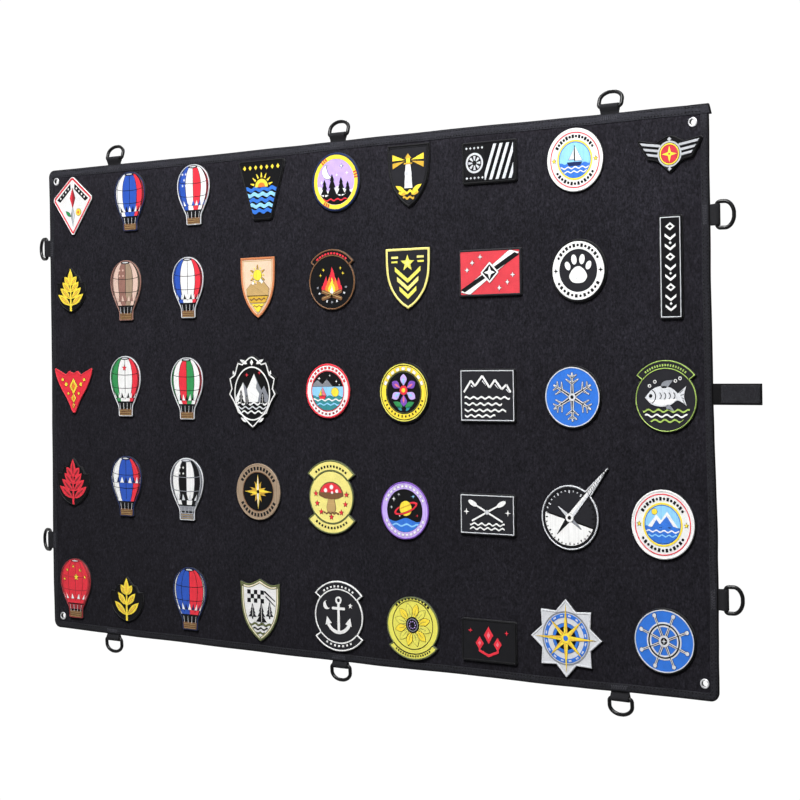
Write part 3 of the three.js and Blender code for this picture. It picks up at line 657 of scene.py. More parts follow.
def panel(name, mat, node, inset, y_face, y_inner, rim, slot):
    """A cloth layer: its outer face is gently uneven and is pressed down under
    the binding; its inner face is plain. y_face is the outer face."""
    nx, nz = 168, 108
    w, h = W2 - inset, H2 - inset
    out = -1 if y_face < y_inner else 1
    m = Mesh()
    fronts, backs = [], []
    for j in range(nz + 1):
        for i in range(nx + 1):
            x, z = -w + 2 * w * i / nx, -h + 2 * h * j / nz
            # round the corners
            cx, cz = w - (CORNER_R - inset), h - (CORNER_R - inset)
            if abs(x) > cx and abs(z) > cz:
                px, pz = abs(x) - cx, abs(z) - cz
                r = math.hypot(px, pz)
                lim = (CORNER_R - inset) * max(px, pz) / (r or 1)
                k = lim / max(px, pz) if max(px, pz) > 0 else 1
                x, z = math.copysign(cx + px * k, x), math.copysign(cz + pz * k, z)
            d = min(W2 - abs(x), H2 - abs(z))
            press = 1 - smooth((d - 8.0) / 6.5)
            y = y_face - out * (swell(x, z) + rim * press)
            dx, dz = sway(x, z)
            fronts.append((x + dx, y, z + dz))
            backs.append((x + dx, y_inner, z + dz))
    k = nx + 1
    nf = len(fronts)
    faces = []
    for j in range(nz):
        for i in range(nx):
            a, b, c, d = j * k + i, j * k + i + 1, (j + 1) * k + i + 1, (j + 1) * k + i
            fa, fb = (a, b, c, d), (nf + d, nf + c, nf + b, nf + a)
            faces += [fa, fb] if out < 0 else [fa[::-1], fb[::-1]]
    edge = [i for i in range(nx)] + [j * k + nx for j in range(nz)] + [nz * k + nx - i for i in range(nx)] + [(nz - j) * k for j in range(nz)]
    for a, b in zip(edge, edge[1:] + edge[:1]):
        q = (b, a, nf + a, nf + b)
        faces.append(q if out < 0 else q[::-1])
    m.add(fronts + backs, faces)
    ob = m.object(name, [mat], sharp=50, replaces=(node,), slot=slot)
    cut_holes(ob, 4.2)
    ob.data.polygons.foreach_set("use_smooth", [True] * len(ob.data.polygons))
    ob.data.set_sharp_from_angle(angle=math.radians(50))
    return ob


face_cloth = panel("loop_face_cloth", LOOP, "loop_face_panel", 1.1, -4.1, -1.62, 0.75, "loop_pile")
back_cloth = panel("back_cloth", OXFORD, "back_panel", 1.1, -0.02, -1.45, 0.7, "woven_back")


# --------------------------------------------------------------------------
# binding: one tape folded round the edge, with two rows of sewing
# --------------------------------------------------------------------------
def edge_path(d, ns=(150, 96), nc=12):
    """Outline at distance d inside the board's edge: (x, z, side).
    The number of points doesn't depend on d."""
    r = max(CORNER_R - d, 0.6)
    w, h = W2 - d, H2 - d
    out = []
    for sx, sz, side, a0 in ((1, 1, "t", 90), (-1, 1, "l", 180), (-1, -1, "b", 270), (1, -1, "r", 0)):
        n = ns[0] if side in "tb" else ns[1]
        for i in range(n):
            t = i / n
            if side == "t":
                x, z = (w - r) * (1 - 2 * t), h
            elif side == "l":
                x, z = -w, (h - r) * (1 - 2 * t)
            elif side == "b":
                x, z = -(w - r) * (1 - 2 * t), -h
            else:
                x, z = w, -(h - r) * (1 - 2 * t)
            out.append((x, z, side))
        cx, cz = {"t": (-1, 1), "l": (-1, -1), "b": (1, -1), "r": (1, 1)}[side]
        for i in range(nc):
            a = math.radians(a0 + 90 * i / nc)
            out.append((cx * (w - r) + r * math.cos(a), cz * (h - r) + r * math.sin(a), "c"))
    return out


FRONT = [(10.0, -3.3), (10.15, -3.85), (9.98, -4.22), (9.4, -4.38), (8.0, -4.24), (7.1, -4.44), (5.4, -4.5), (3.9, -4.42),
         (3.0, -4.18), (2.1, -4.26), (1.1, -3.95), (0.35, -3.25), (0.0, -2.15)]
BACK = [(0.35, -1.05), (1.1, -0.42), (2.1, -0.12), (3.0, -0.2), (3.9, -0.02), (5.4, 0.04), (7.1, 0.0), (8.0, -0.18),
        (8.9, 0.0), (9.75, -0.08), (10.15, -0.4), (10.0, -0.8), (1.7, -0.95), (1.2, -2.1), (1.7, -3.2)]


def lump(side, x, z):
    """How much a tab's tail inside the fold lifts the tape, 0 to 1."""
    if side == "c":
        return 0.0
    at = x if side in "tb" else z
    return 1 - smooth((min(abs(at - a) for a in AT[side]) - 11.5) / 3.5)


def broad(d, z):
    """The tape reaches a little further down along the top: how far, at distance d inside the edge."""
    return 1.8 * smooth((d - 5.0) / 4.0) * smooth((z - H2 + 16.0) / 4.0)


binding = Mesh(("arc", "fold"))
profile = FRONT + BACK
paths = {d: edge_path(d) for d in {p[0] for p in profile}}
rim_path = paths[0.0]
n_path = len(rim_path)
arc_len = [0.0]
for i in range(1, n_path):
    arc_len.append(arc_len[-1] + math.hypot(rim_path[i][0] - rim_path[i - 1][0], rim_path[i][1] - rim_path[i - 1][1]))
verts, arcs, fold_shade = [], [], []
for i in range(n_path):
    side = rim_path[i][2]
    for d, y in profile:
        x, z, _ = paths[d][i]
        k = lump(side, rim_path[i][0], rim_path[i][1])
        wav = 0.1 * noise.noise((arc_len[i] * 0.05, d * 0.08, y))
        yy = y + (-0.5 * k if y < -2.1 else 0.2 * k if y > -1.5 else 0.0) * smooth((11 - d) / 3.4) + wav
        dx, dz = sway(x, z)
        verts.append((x + dx, yy, z + dz - broad(d, z)))
        arcs.append(arc_len[i] * MM)
        # painted shade weight: 1 on the outer fold, 0.75 just inside it
        fold_shade.append(1.0 if d < 0.5 else 0.75 if d < 1.15 else 0.0)
binding.add(verts, grid_faces(n_path, len(profile)), arc=arcs, fold=fold_shade)

# squared, folded end of the tape at the top right corner, cut a little askew
END = [(12.2, -3.2), (12.3, -4.1), (11.9, -4.66), (9.0, -4.5), (5.4, -4.74), (2.8, -4.56), (1.4, -4.4), (0.4, -3.8), (-0.3, -2.3),
       (-0.05, -0.9), (1.1, -0.1), (2.8, 0.05), (5.4, 0.16), (9.0, 0.05), (11.9, 0.08), (12.3, -0.4), (12.2, -1.2)]
ends = [(519.0, 0.55), (520.0, 0.3), (526.0, 0.12), (533.0, 0.0), (540.0, 0.0), (545.0, -0.05), (549.2, -0.05), (550.1, 0.12), (550.4, 0.6)]
verts, arcs, fold_shade = [], [], []
for x, shrink in ends:
    loop = offset(ccw([(H2 - d, y) for d, y in END]), shrink)
    for z, y in loop:
        verts.append((x + 0.24 * (H2 - z) * smooth((x - 536) / 14), y, z))
        arcs.append(x * MM)
        # painted shade weight on the outer fold and on the outer face of the squared end
        fold_shade.append(max(1.0 if H2 - z < 0.7 else 0.7 if H2 - z < 1.6 else 0.0, 0.85 if x > 549.9 else 0.0))
k = len(END)
faces = [f[::-1] for f in grid_faces(len(ends), k, close_n=False)]
cap = tess([offset(ccw([(H2 - d, y) for d, y in END]), ends[0][1])])
faces += [f for f in cap] + [tuple((len(ends) - 1) * k + i for i in f[::-1]) for f in cap]
binding.add(verts, faces, arc=arcs, fold=fold_shade)
tape_ob = binding.object("binding_tape", [TAPE], sharp=60, replaces=("edge_binding",), slot="binding_tape")


def stitch_row(mesh, pts, y, length=2.7, gap=1.1, r=0.34, dip=0.16, side=None, tip=0.12, hole=0.0):
    """Lockstitches laid along a line of points on the cloth; y is the cloth's face
    there, and side is -1 for a front face and 1 for a rear one."""
    i = 0
    total = [0.0]
    for a, b in zip(pts, pts[1:]):
        total.append(total[-1] + math.hypot(b[0] - a[0], b[1] - a[1]))

    def at(s):
        nonlocal i
        while i < len(pts) - 2 and total[i + 1] < s:
            i += 1
        t = (s - total[i]) / max(total[i + 1] - total[i], 1e-9)
        a, b = pts[i], pts[i + 1]
        d = max(total[i + 1] - total[i], 1e-9)
        return (a[0] + (b[0] - a[0]) * t, a[1] + (b[1] - a[1]) * t, (b[0] - a[0]) / d, (b[1] - a[1]) / d)

    s = gap
    out = side or (-1 if y < -2 else 1)
    ring = [(math.cos(q), math.sin(q)) for q in (0.0, 1.05, 2.1, 3.14159)]
    while s + length < total[-1]:
        if hole:
            # the dimple where the needle went through
            x, z, tx, tz = at(s - gap / 2)
            dx, dz = sway(x, z)
            verts = [(x + dx, y - out * 0.2, z + dz), (x + dx, y + out * 0.03, z + dz)]
            verts += [(x + dx + hole * math.cos(TAU * k / 8), y - out * 0.04, z + dz + hole * math.sin(TAU * k / 8)) for k in range(8)]
            fs = [(1, 2 + k, 2 + (k + 1) % 8) for k in range(8)] + [(0, 2 + (k + 1) % 8, 2 + k) for k in range(8)]
            # hole=1.0 marks the dimple for painted shade in the thread's material
            mesh.add(verts, fs if out < 0 else [f[::-1] for f in fs], hole=1.0)
        x, z, tx, tz = at(s + length / 2)
        dx, dz = sway(x, z)
        verts = []
        for f, rad, lift in ((-0.5, tip, -dip), (-0.32, 0.9, 0.0), (0.0, 1.0, 0.06), (0.32, 0.9, 0.0), (0.5, tip, -dip)):
            for c, q in ring:
                verts.append((x + dx + tx * f * length - tz * c * r * rad, y + out * (lift + q * r * rad * 0.9), z + dz + tz * f * length + tx * c * r * rad))
        fs = [(a * 4 + b, a * 4 + b + 1, (a + 1) * 4 + b + 1, (a + 1) * 4 + b) for a in range(4) for b in range(3)]
        fs += [(a * 4 + 3, a * 4, (a + 1) * 4, (a + 1) * 4 + 3) for a in range(4)]
        fs += [(3, 2, 1, 0), (16, 17, 18, 19)]
        # the hole weights mark the stitch ends for painted shade in the thread's material
        mesh.add(verts, fs if out < 0 else [f[::-1] for f in fs], hole=[h for h in (1.0, 0.12, 0.0, 0.12, 1.0) for _ in ring])
        s += length + gap


sewing = Mesh(("hole",))
for d, yf, yb in ((8.0, -4.33, -0.05), (3.0, -4.3, -0.07)):
    line = [(x, z - broad(d, z)) for x, z, _ in edge_path(d, ns=(300, 190), nc=10)]
    line.append(line[0])
    stitch_row(sewing, line, yf, length=3.4, gap=1.0, r=0.4, tip=0.6, hole=0.85)
    stitch_row(sewing, line, yb, length=3.4, gap=1.0, r=0.4, tip=0.6, hole=0.85)
# the same two rows carried on over the squared end of the tape
for d, yf in ((8.2, -4.58), (3.2, -4.64)):
    stitch_row(sewing, [(521.0 + 3.25 * i, H2 - d) for i in range(9)], yf, length=3.4, gap=1.0, r=0.4, tip=0.6, hole=0.85)
# reinforcing rows over each tab's tail
tacks = Mesh()
for k, (_, side, at, _) in enumerate(RINGS):
    rnd = random.Random(400 + k)
    for d in (3.7, 4.7, 5.7, 6.7, 7.6):
        q = []
        skew = rnd.uniform(-0.9, 0.9)
        for i in range(9):
            u = at + skew - 12 + 24 * i / 8
            q.append({"t": (u, H2 - d), "b": (u, -H2 + d), "l": (-W2 + d, u), "r": (W2 - d, u)}[side])
        stitch_row(tacks, q, -5.02, length=1.8 + rnd.uniform(0, 0.5), gap=0.9)
        stitch_row(tacks, q, 0.24, length=2.0, gap=0.9)
sewing.object("binding_sewing", [mat_sewing()], slot="binding_tape")
tacks.object("tab_tacking", [TACK], slot="binding_tape")


# --------------------------------------------------------------------------
# webbing tabs and D-rings
# --------------------------------------------------------------------------
MID = -1.7
LEAN = {"t": 18, "r": 12, "l": 17, "b": 4}   # degrees the rings of each edge lean back out of the board's plane


def edge_point(side, at, u, v, y):
    if side == "t":
        return (at + u, y, H2 + v)
    if side == "b":
        return (at - u, y, -H2 - v)
    if side == "l":
        return (-W2 - v, y, at + u)
    return (W2 + v, y, at - u)


def tab_outline(bar):
    """Webbing folded round the bar: (v outward, y off the middle)."""
    half = 0.95
    e = bar - 8.4
    pts = [(-9.0, -half), (-4.0, -half), (-1.0, -half - 0.1), (0.8 + e / 2, -half - 0.22), (2.2 + e, -half - 0.55), (3.4 + e, -half - 1.1), (4.6 + e, -half - 1.7)]
    a0 = math.radians(-126)
    arc = [(bar + 4.02 * math.cos(a0 + (2 * -a0) * i / 22), 4.02 * math.sin(a0 + (2 * -a0) * i / 22)) for i in range(23)]
    low = catmull(pts + [arc[0]], 3, closed=False)[:-1]
    return low + arc + [(v, -y) for v, y in reversed(low)]


def make_tab(name, side, at, bar, k):
    rnd = random.Random(100 + k)
    outer = ccw(tab_outline(bar))
    hole = [(bar + 2.95 * math.cos(TAU * i / 24), 2.95 * math.sin(TAU * i / 24)) for i in range(24)]
    cut = [(-12.5, 0.42), (-12.35, 0.16), (-12.0, 0.0)] + [(-12 + 24 * i / 8, 0.0) for i in range(1, 8)] + [(12.0, 0.0), (12.35, 0.16), (12.5, 0.42)]
    m = Mesh(("arc", "across"))
    lens = [0.0]
    for a, b in zip(outer, outer[1:]):
        lens.append(lens[-1] + math.hypot(b[0] - a[0], b[1] - a[1]))
    vo, vi, aa, ac, ai, aci = [], [], [], [], [], []
    lean = rnd.uniform(-0.25, 0.25)
    for u, s in cut:
        ring_o, ring_i = offset(outer, s), offset(hole, -s * 0.6)
        for (v, y), l in zip(ring_o, lens):
            vo.append(edge_point(side, at, u + lean * v / 11, v, MID + y))
            aa.append(l * MM), ac.append(u * MM)
        for v, y in ring_i:
            vi.append(edge_point(side, at, u + lean * v / 11, v, MID + y))
            ai.append(0.0), aci.append(u * MM)
    no, ni = len(outer), len(hole)
    fo = grid_faces(len(cut), no, close_n=False)
    fi = [f[::-1] for f in grid_faces(len(cut), ni, close_n=False)]
    m.add(vo, fo, arc=aa, across=ac)
    m.add(vi, fi, arc=ai, across=aci)
    base_i = len(vo)
    tri = tess([offset(outer, cut[0][1]), offset(hole, -cut[0][1] * 0.6)])
    last_o, last_i = (len(cut) - 1) * no, base_i + (len(cut) - 1) * ni
    first = [tuple(i if i < no else base_i + i - no for i in f) for f in tri]
    last = [tuple(last_o + i if i < no else last_i + i - no for i in f)[::-1] for f in tri]
    m.f += [f[::-1] for f in first] + [f[::-1] for f in last]
    m.m += [0] * (len(first) + len(last))
    return m


def outward(m):
    """Turns every face over if the closed mesh is inside out."""
    vol = 0.0
    for f in m.f:
        a = Vector(m.v[f[0]])
        for i in range(1, len(f) - 1):
            vol += a.dot(Vector(m.v[f[i]]).cross(Vector(m.v[f[i + 1]])))
    if vol < 0:
        m.f = [f[::-1] for f in m.f]
    return m


def ring_centre_line():
    c, r, half, side, depth = 11.4, 4.0, 15.4, 9.2, 20.0
    right = [(x, 0.0) for x in (2.1, 4.2, 6.3, 8.4, 10.5, c)]
    right += [(c + r * math.sin(a), r * (1 - math.cos(a))) for a in (math.pi / 2 * i / 8 for i in range(1, 9))]
    right += [(half, 5.6), (half, 7.4), (half, side)]
    rise = depth - side
    for i in range(1, 18):
        t = math.radians(80 * i / 17)
        right.append((half * math.cos(t), side + rise * math.sin(t) / math.sin(math.radians(80))))
    right += [(1.4, depth)]
    return [(0.0, 0.0)] + right + [(0.0, depth)] + [(-u, v) for u, v in reversed(right)]


def make_ring(side, at, bar):
    p = ring_centre_line()
    n, k, r = len(p), 16, 2.45
    m = Mesh()
    verts = []
    c_lean, s_lean = math.cos(math.radians(LEAN[side])), math.sin(math.radians(LEAN[side]))
    for i in range(n):
        a, b, c = p[i - 1], p[i], p[(i + 1) % n]
        tx, tz = c[0] - a[0], c[1] - a[1]
        l = math.hypot(tx, tz)
        ox, oz = tz / l, -tx / l
        for j in range(k):
            q = TAU * j / k
            out, back = b[1] + oz * r * math.cos(q), r * math.sin(q)
            verts.append(edge_point(side, at, b[0] + ox * r * math.cos(q), bar + out * c_lean - back * s_lean,
                                    MID + out * s_lean + back * c_lean))
    m.add(verts, grid_faces(n, k))
    return outward(m)


for idx, (name, side, at, bar) in enumerate(RINGS):
    outward(make_tab(name, side, at, bar, idx)).object("tab_" + name, [WEB], sharp=50, replaces=("ring_tab_" + name,), slot="webbing")
    make_ring(side, at, bar).object("ring_wire_" + name, [RING], sharp=80, body="ring_" + name, replaces=("d_ring_" + name,), slot="ring_metal")


# --------------------------------------------------------------------------
# eyelets: drawn barrel with a rolled flange, and the washer behind
# --------------------------------------------------------------------------
def turned(profile, x, z, n=48):
    m = Mesh(("bore",))
    verts = [(x + r * math.cos(TAU * i / n), y, z + r * math.sin(TAU * i / n)) for i in range(n) for r, y in profile]
    # bore weight: marks the inside of the barrel for painted shade in the eyelet's material
    m.add(verts, grid_faces(n, len(profile)), bore=[1.0 if r < 3.8 else 0.5 if r < 3.9 else 0.0 for r, y in profile] * n)
    return outward(m)


BARREL = [(3.7, -0.75), (3.7, -3.4)]
BARREL += [(3.74, -4.1), (3.88, -4.55), (4.15, -4.86), (4.5, -5.0), (4.9, -5.0), (5.25, -4.9), (5.55, -4.7), (5.76, -4.45), (5.84, -4.2), (5.76, -4.02), (5.55, -3.95)]
BARREL += [(4.4, -4.02), (4.08, -3.8), (4.08, -0.9), (4.2, -0.55), (4.6, -0.42), (4.95, -0.42), (5.08, -0.3), (4.95, -0.14), (4.5, -0.06), (4.1, -0.12), (3.85, -0.32)]
WASHER = [(4.2, -0.95), (6.1, -0.98), (6.2, -0.86), (6.15, -0.7), (5.8, -0.58), (5.3, -0.5), (4.7, -0.5), (4.25, -0.55)]
for name, x, z in EYELETS:
    turned(BARREL, x, z).object("eyelet_barrel_" + name, [EYELET], sharp=40, replaces=("eyelet_" + name,), slot="eyelet_metal")
    turned([(r, y + 0.42) for r, y in WASHER], x, z).object("eyelet_back_" + name, [EYELET], sharp=40, replaces=("eyelet_washer_" + name,), slot="eyelet_metal")


# --------------------------------------------------------------------------
# closure strap: webbing that leaves the fold of the binding, and its pad
# --------------------------------------------------------------------------
STRAP_Z, STRAP_HALF = 10.0, 12.5


def make_strap():
    m = Mesh(("arc", "across"))
    xs = [543.0, 546.0, 548.0, 549.5] + [550.5 + 0.3 * i for i in range(27)] + [560 + 2.2 * i for i in range(24)] + [611.2, 611.5]
    half_t = 0.66
    sec = [(-12.5, 0.0), (-12.4, -0.42), (-12.0, -half_t), (-6, -half_t), (0, -half_t), (6, -half_t), (12.0, -half_t), (12.4, -0.42),
           (12.5, 0.0), (12.4, 0.42), (12.0, half_t), (6, half_t), (0, half_t), (-6, half_t), (-12.0, half_t), (-12.4, 0.42)]
    verts, arcs, acr = [], [], []
    for i, x in enumerate(xs):
        k = 0.5 if i in (0, len(xs) - 1) else 1.0
        for u, y in sec:
            verts.append((x, MID + y * k, STRAP_Z + u * (0.985 if k < 1 else 1.0)))
            arcs.append(x * MM), acr.append(u * MM)
    n = len(sec)
    fs = grid_faces(len(xs), n, close_n=False)
    fs += [tuple(range(n))[::-1], tuple((len(xs) - 1) * n + i for i in range(n))]
    m.add(verts, fs, arc=arcs, across=acr)
    return outward(m)


strap = make_strap().object("strap_webbing", [SHADED_STRAP_WEB], sharp=50, body=None, replaces=("closure_strap",), slot="webbing")
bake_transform(strap)


def pillow(outline, y0, y1, edge, steps=4):
    """Closed low cushion over an outline, from y0 up to y1 (towards -Y if y1 < y0)."""
    m = Mesh()
    p = ccw(outline)
    rings = [(p, y0)]
    for i in range(steps + 1):
        a = math.pi / 2 * i / steps
        rings.append((offset(p, edge * (1 - math.cos(a))), y0 + (y1 - y0) * (0.25 + 0.75 * math.sin(a))))
    n = len(p)
    verts = [(u, y, v) for q, y in rings for u, v in q]
    fs = grid_faces(len(rings), n, close_n=False)
    top = tess([rings[-1][0]])
    o = (len(rings) - 1) * n
    fs += [tuple(o + i for i in f) for f in top] + [f[::-1] for f in tess([p])]
    m.add(verts, fs)
    return outward(m)


def rounded_rect(w, h, r, n=6):
    out = []
    for cx, cy, a0 in ((1, -1, -90), (1, 1, 0), (-1, 1, 90), (-1, -1, 180)):
        for i in range(n + 1):
            a = math.radians(a0 + 90 * i / n)
            out.append((cx * (w / 2 - r) + r * math.cos(a), cy * (h / 2 - r) + r * math.sin(a)))
    return out


pad_outline = [(585.3 + u, STRAP_Z + v) for u, v in rounded_rect(48.6, 21.4, 1.6)]
pillow(resample(pad_outline, 3), MID - 0.6, MID - 0.66 - 1.35, 0.8).object("strap_pad_nap", [PAD], sharp=60, body="strap", replaces=("strap_fastening_pad",), slot="strap_pad")
strap_sew = Mesh()
box = [(585.3 + u, STRAP_Z + v) for u, v in rounded_rect(45.4, 18.2, 0.8, 2)]
box.append(box[0])


stitch_row(strap_sew, box, MID - 0.66 - 1.42)
stitch_row(strap_sew, box, MID + 0.72, side=1)
strap_sew.object("strap_sewing", [STITCH], body="strap", slot="strap_pad")


# --------------------------------------------------------------------------
# patches: outlines
# --------------------------------------------------------------------------
def fit(p, w, h):
    us, vs = [q[0] for q in p], [q[1] for q in p]
    u0, u1, v0, v1 = min(us), max(us), min(vs), max(vs)
    return [((u - (u0 + u1) / 2) / (u1 - u0) * w, (v - (v0 + v1) / 2) / (v1 - v0) * h) for u, v in p]


def mirrored(right):
    p = right + [(-u, v) for u, v in reversed(right)]
    return [q for i, q in enumerate(p) if math.hypot(q[0] - p[i - 1][0], q[1] - p[i - 1][1]) > 1e-6]


def soften(p, per=5, sharp=34.0):
    """Rounds the runs between sharp corners and leaves the corners."""
    n = len(p)
    corners = []
    for i in range(n):
        a, b, c = p[i - 1], p[i], p[(i + 1) % n]
        t = math.degrees(abs(math.remainder(math.atan2(c[1] - b[1], c[0] - b[0]) - math.atan2(b[1] - a[1], b[0] - a[0]), TAU)))
        if t > sharp:
            corners.append(i)
    if not corners:
        return catmull(p, per)
    out = []
    for a, b in zip(corners, corners[1:] + [corners[0] + n]):
        out += catmull([p[i % n] for i in range(a, b + 1)], per, closed=False)[:-1]
    return out


def circle(r, u=0.0, v=0.0, n=48, ry=None):
    return [(u + r * math.cos(TAU * i / n), v + (ry or r) * math.sin(TAU * i / n)) for i in range(n)]


def arc_band(r0, r1, a0, a1, n=14, u=0.0, v=0.0):
    """Part of a ring, angles in degrees, anticlockwise from +u."""
    t = [math.radians(a0 + (a1 - a0) * i / n) for i in range(n + 1)]
    return [(u + r1 * math.cos(a), v + r1 * math.sin(a)) for a in t] + [(u + r0 * math.cos(a), v + r0 * math.sin(a)) for a in reversed(t)]


def rocker_outline(w, h, top, bottom):
    bands = int(top) + int(bottom)
    R = w / 2
    extra = max(4, (h - w) / bands)
    half, R0, pts = math.radians(52), R * 0.93, []

    def arc(t0, t1, r, n):
        pts.extend((r * math.cos(t0 + (t1 - t0) * i / n), r * math.sin(t0 + (t1 - t0) * i / n)) for i in range(n + 1))

    hp = math.pi / 2
    arc(-hp + half, hp - half, R0, 10)
    arc(hp - half, hp + half, R + extra if top else R0, 16)
    arc(hp + half, 3 * hp - half, R0, 10)
    arc(3 * hp - half, 3 * hp + half, R + extra if bottom else R0, 16)
    return fit([q for i, q in enumerate(pts) if math.hypot(q[0] - pts[i - 1][0], q[1] - pts[i - 1][1]) > 1e-3], w, h)


def rocker_disc(w, h, top, bottom):
    """Half width, half height and centre height of the disc inside a rocker outline."""
    R = w / 2
    extra = max(4, (h - w) / (int(top) + int(bottom)))
    R0, R1 = R * 0.93, R + extra
    wide = max(2 * R0, 2 * R1 * math.sin(math.radians(52)))
    lo, hi = -(R1 if bottom else R0), (R1 if top else R0)
    return R0 * w / wide, R0 * h / (hi - lo), -(lo + hi) / 2 * h / (hi - lo)


SHAPES = {
    "shield": [(0, -1.25), (.28, -1.08), (.55, -.82), (.78, -.48), (.92, -.08), (.97, .35), (.98, .7), (.98, 1)],
    "crown_shield": [(0, -1.25), (.3, -1.06), (.6, -.78), (.83, -.4), (.95, .1), (.97, .62), (.99, .9), (.55, .82), (0, 1.02)],
    "balloon": [(0, -1.42), (.4, -1.42), (.45, -1.38), (.47, -1), (.62, -.72), (.85, -.3), (.97, .05), (1, .36), (.95, .66), (.8, .94), (.55, 1.16), (.27, 1.28), (0, 1.31)],
    "wings": [(0, -1), (.1, -.86), (.36, -.4), (.66, -.24), (.73, -.14), (1, .76), (.96, .86), (.44, .66), (.12, .96), (0, 1)],
    "wing_wedge": [(0, -1), (.1, -.92), (.34, -.42), (.68, .1), (.92, .62), (1, .94), (.96, 1), (.4, .72), (.22, .88), (0, .78)],
    "leaf": [(0, -1), (.2, -.95), (.55, -.78), (.86, -.45), (.99, -.02), (.96, .35), (.72, .34), (.55, .62), (.36, .66), (.16, .86), (0, 1)],
    "almond": [(0, -1), (.16, -.9), (.46, -.66), (.6, -.6), (.78, -.3), (.98, -.06), (.88, .1), (.96, .38), (.74, .5), (.6, .84), (.4, .8), (.14, .96), (0, 1)],
}
KITE = [(.05, -1), (.97, .18), (.97, .3), (.06, 1), (-.06, 1), (-.97, .3), (-.97, .18), (-.05, -1)]
WEDGE = [(.36, -1), (.42, -.95), (1, .9), (.95, 1), (-.95, 1), (-1, .9), (-.42, -.95), (-.36, -1)]


def outline(kind, w, h):
    if kind == "disc":
        return [(u * w / 2, v * h / 2) for u, v in circle(1, n=72)]
    if kind == "rect":
        return rounded_rect(w, h, 2.0, 4)
    if kind == "kite":
        return fit(KITE, w, h)
    if kind == "wedge":
        return fit(WEDGE, w, h)
    if kind == "star":
        return fit([((0.74 if i % 2 else 1) * math.cos(TAU * i / 16 + math.pi / 2), (0.74 if i % 2 else 1) * math.sin(TAU * i / 16 + math.pi / 2)) for i in range(16)], w, h)
    if kind.startswith("rocker"):
        return rocker_outline(w, h, "t" in kind[6:], "b" in kind[6:])
    if kind == "pointed":
        r, a = w / 2, math.radians(49.4)
        half = math.radians(7.5)
        ring = [(r * math.cos(a + half + (TAU - 2 * half) * i / 70), r * math.sin(a + half + (TAU - 2 * half) * i / 70)) for i in range(71)]
        tip = 82.0
        return ring + [(tip * math.cos(a) + 0.5 * math.sin(a), tip * math.sin(a) - 0.5 * math.cos(a)), (tip * math.cos(a) - 0.5 * math.sin(a), tip * math.sin(a) + 0.5 * math.cos(a))]
    return soften(fit(mirrored(SHAPES[kind]), w, h))


# --------------------------------------------------------------------------
# patches: figures to embroider, in millimetres about the patch's centre
# --------------------------------------------------------------------------
def star(n, R, r, u=0.0, v=0.0, rot=90.0):
    return [(u + (R if i % 2 == 0 else r) * math.cos(math.radians(rot) + math.pi * i / n), v + (R if i % 2 == 0 else r) * math.sin(math.radians(rot) + math.pi * i / n)) for i in range(2 * n)]


def bar(p, q, w0, w1=None):
    """Straight bar from p to q, w0 wide at p and w1 at q."""
    w1 = w0 if w1 is None else w1
    d = math.hypot(q[0] - p[0], q[1] - p[1])
    nx, ny = -(q[1] - p[1]) / d, (q[0] - p[0]) / d
    return [(p[0] - nx * w0 / 2, p[1] - ny * w0 / 2), (q[0] - nx * w1 / 2, q[1] - ny * w1 / 2), (q[0] + nx * w1 / 2, q[1] + ny * w1 / 2), (p[0] + nx * w0 / 2, p[1] + ny * w0 / 2)]


def ray(u, v, r0, r1, deg, w0, w1):
    a = math.radians(deg)
    return bar((u + r0 * math.cos(a), v + r0 * math.sin(a)), (u + r1 * math.cos(a), v + r1 * math.sin(a)), w0, w1)


def petal(u, v, length, width, deg, n=9, peak=0.45):
    """Pointed oval that grows from (u, v) in the direction deg."""
    a = math.radians(deg)
    side = []
    for i in range(n + 1):
        t = i / n
        s = math.sin(math.pi * t ** (math.log(0.5) / math.log(peak))) * width / 2
        side.append((t * length, s))
    pts = side + [(t, -s) for t, s in reversed(side[1:-1])]
    return ccw([(u + t * math.cos(a) - s * math.sin(a), v + t * math.sin(a) + s * math.cos(a)) for t, s in pts])


def wave(u0, u1, v, amp, length, thick, phase=0.0, n=36):
    top = [(u0 + (u1 - u0) * i / n, v + amp * math.sin(TAU * (u0 + (u1 - u0) * i / n) / length + phase)) for i in range(n + 1)]
    return [(u, w - thick / 2) for u, w in top] + [(u, w + thick / 2) for u, w in reversed(top)]


def sea(u0, u1, v, amp, length, floor, phase=0.0, n=36):
    top = [(u0 + (u1 - u0) * i / n, v + amp * math.sin(TAU * (u0 + (u1 - u0) * i / n) / length + phase)) for i in range(n + 1)]
    return [(u0, floor), (u1, floor)] + list(reversed(top))


def pine(u, base, h, w, tiers=3):
    right = [(w * 0.08, 0.0), (w * 0.08, h * 0.14)]
    for k in range(tiers):
        a, b = 0.14 + 0.86 * k / tiers, 0.14 + 0.86 * (k + 1) / tiers
        right.append((w / 2 * (1 - 0.26 * k), h * a))
        right.append((w / 2 * (0.36 - 0.11 * k) if k < tiers - 1 else 0.0, h * (b + 0.02 if k < tiers - 1 else b)))
    pts = [(x, y) for x, y in right] + [(-x, y) for x, y in reversed(right) if x > 1e-6]
    return ccw([(u + x, base + y) for x, y in pts])


def rhomb(u, v, w, h):
    return [(u + w / 2, v), (u, v + h / 2), (u - w / 2, v), (u, v - h / 2)]


def chevron(u, v, w, h, t):
    """A V lying point down, t thick."""
    return ccw([(u - w / 2, v + h), (u, v), (u + w / 2, v + h), (u + w / 2, v + h + t), (u, v + t), (u - w / 2, v + h + t)])


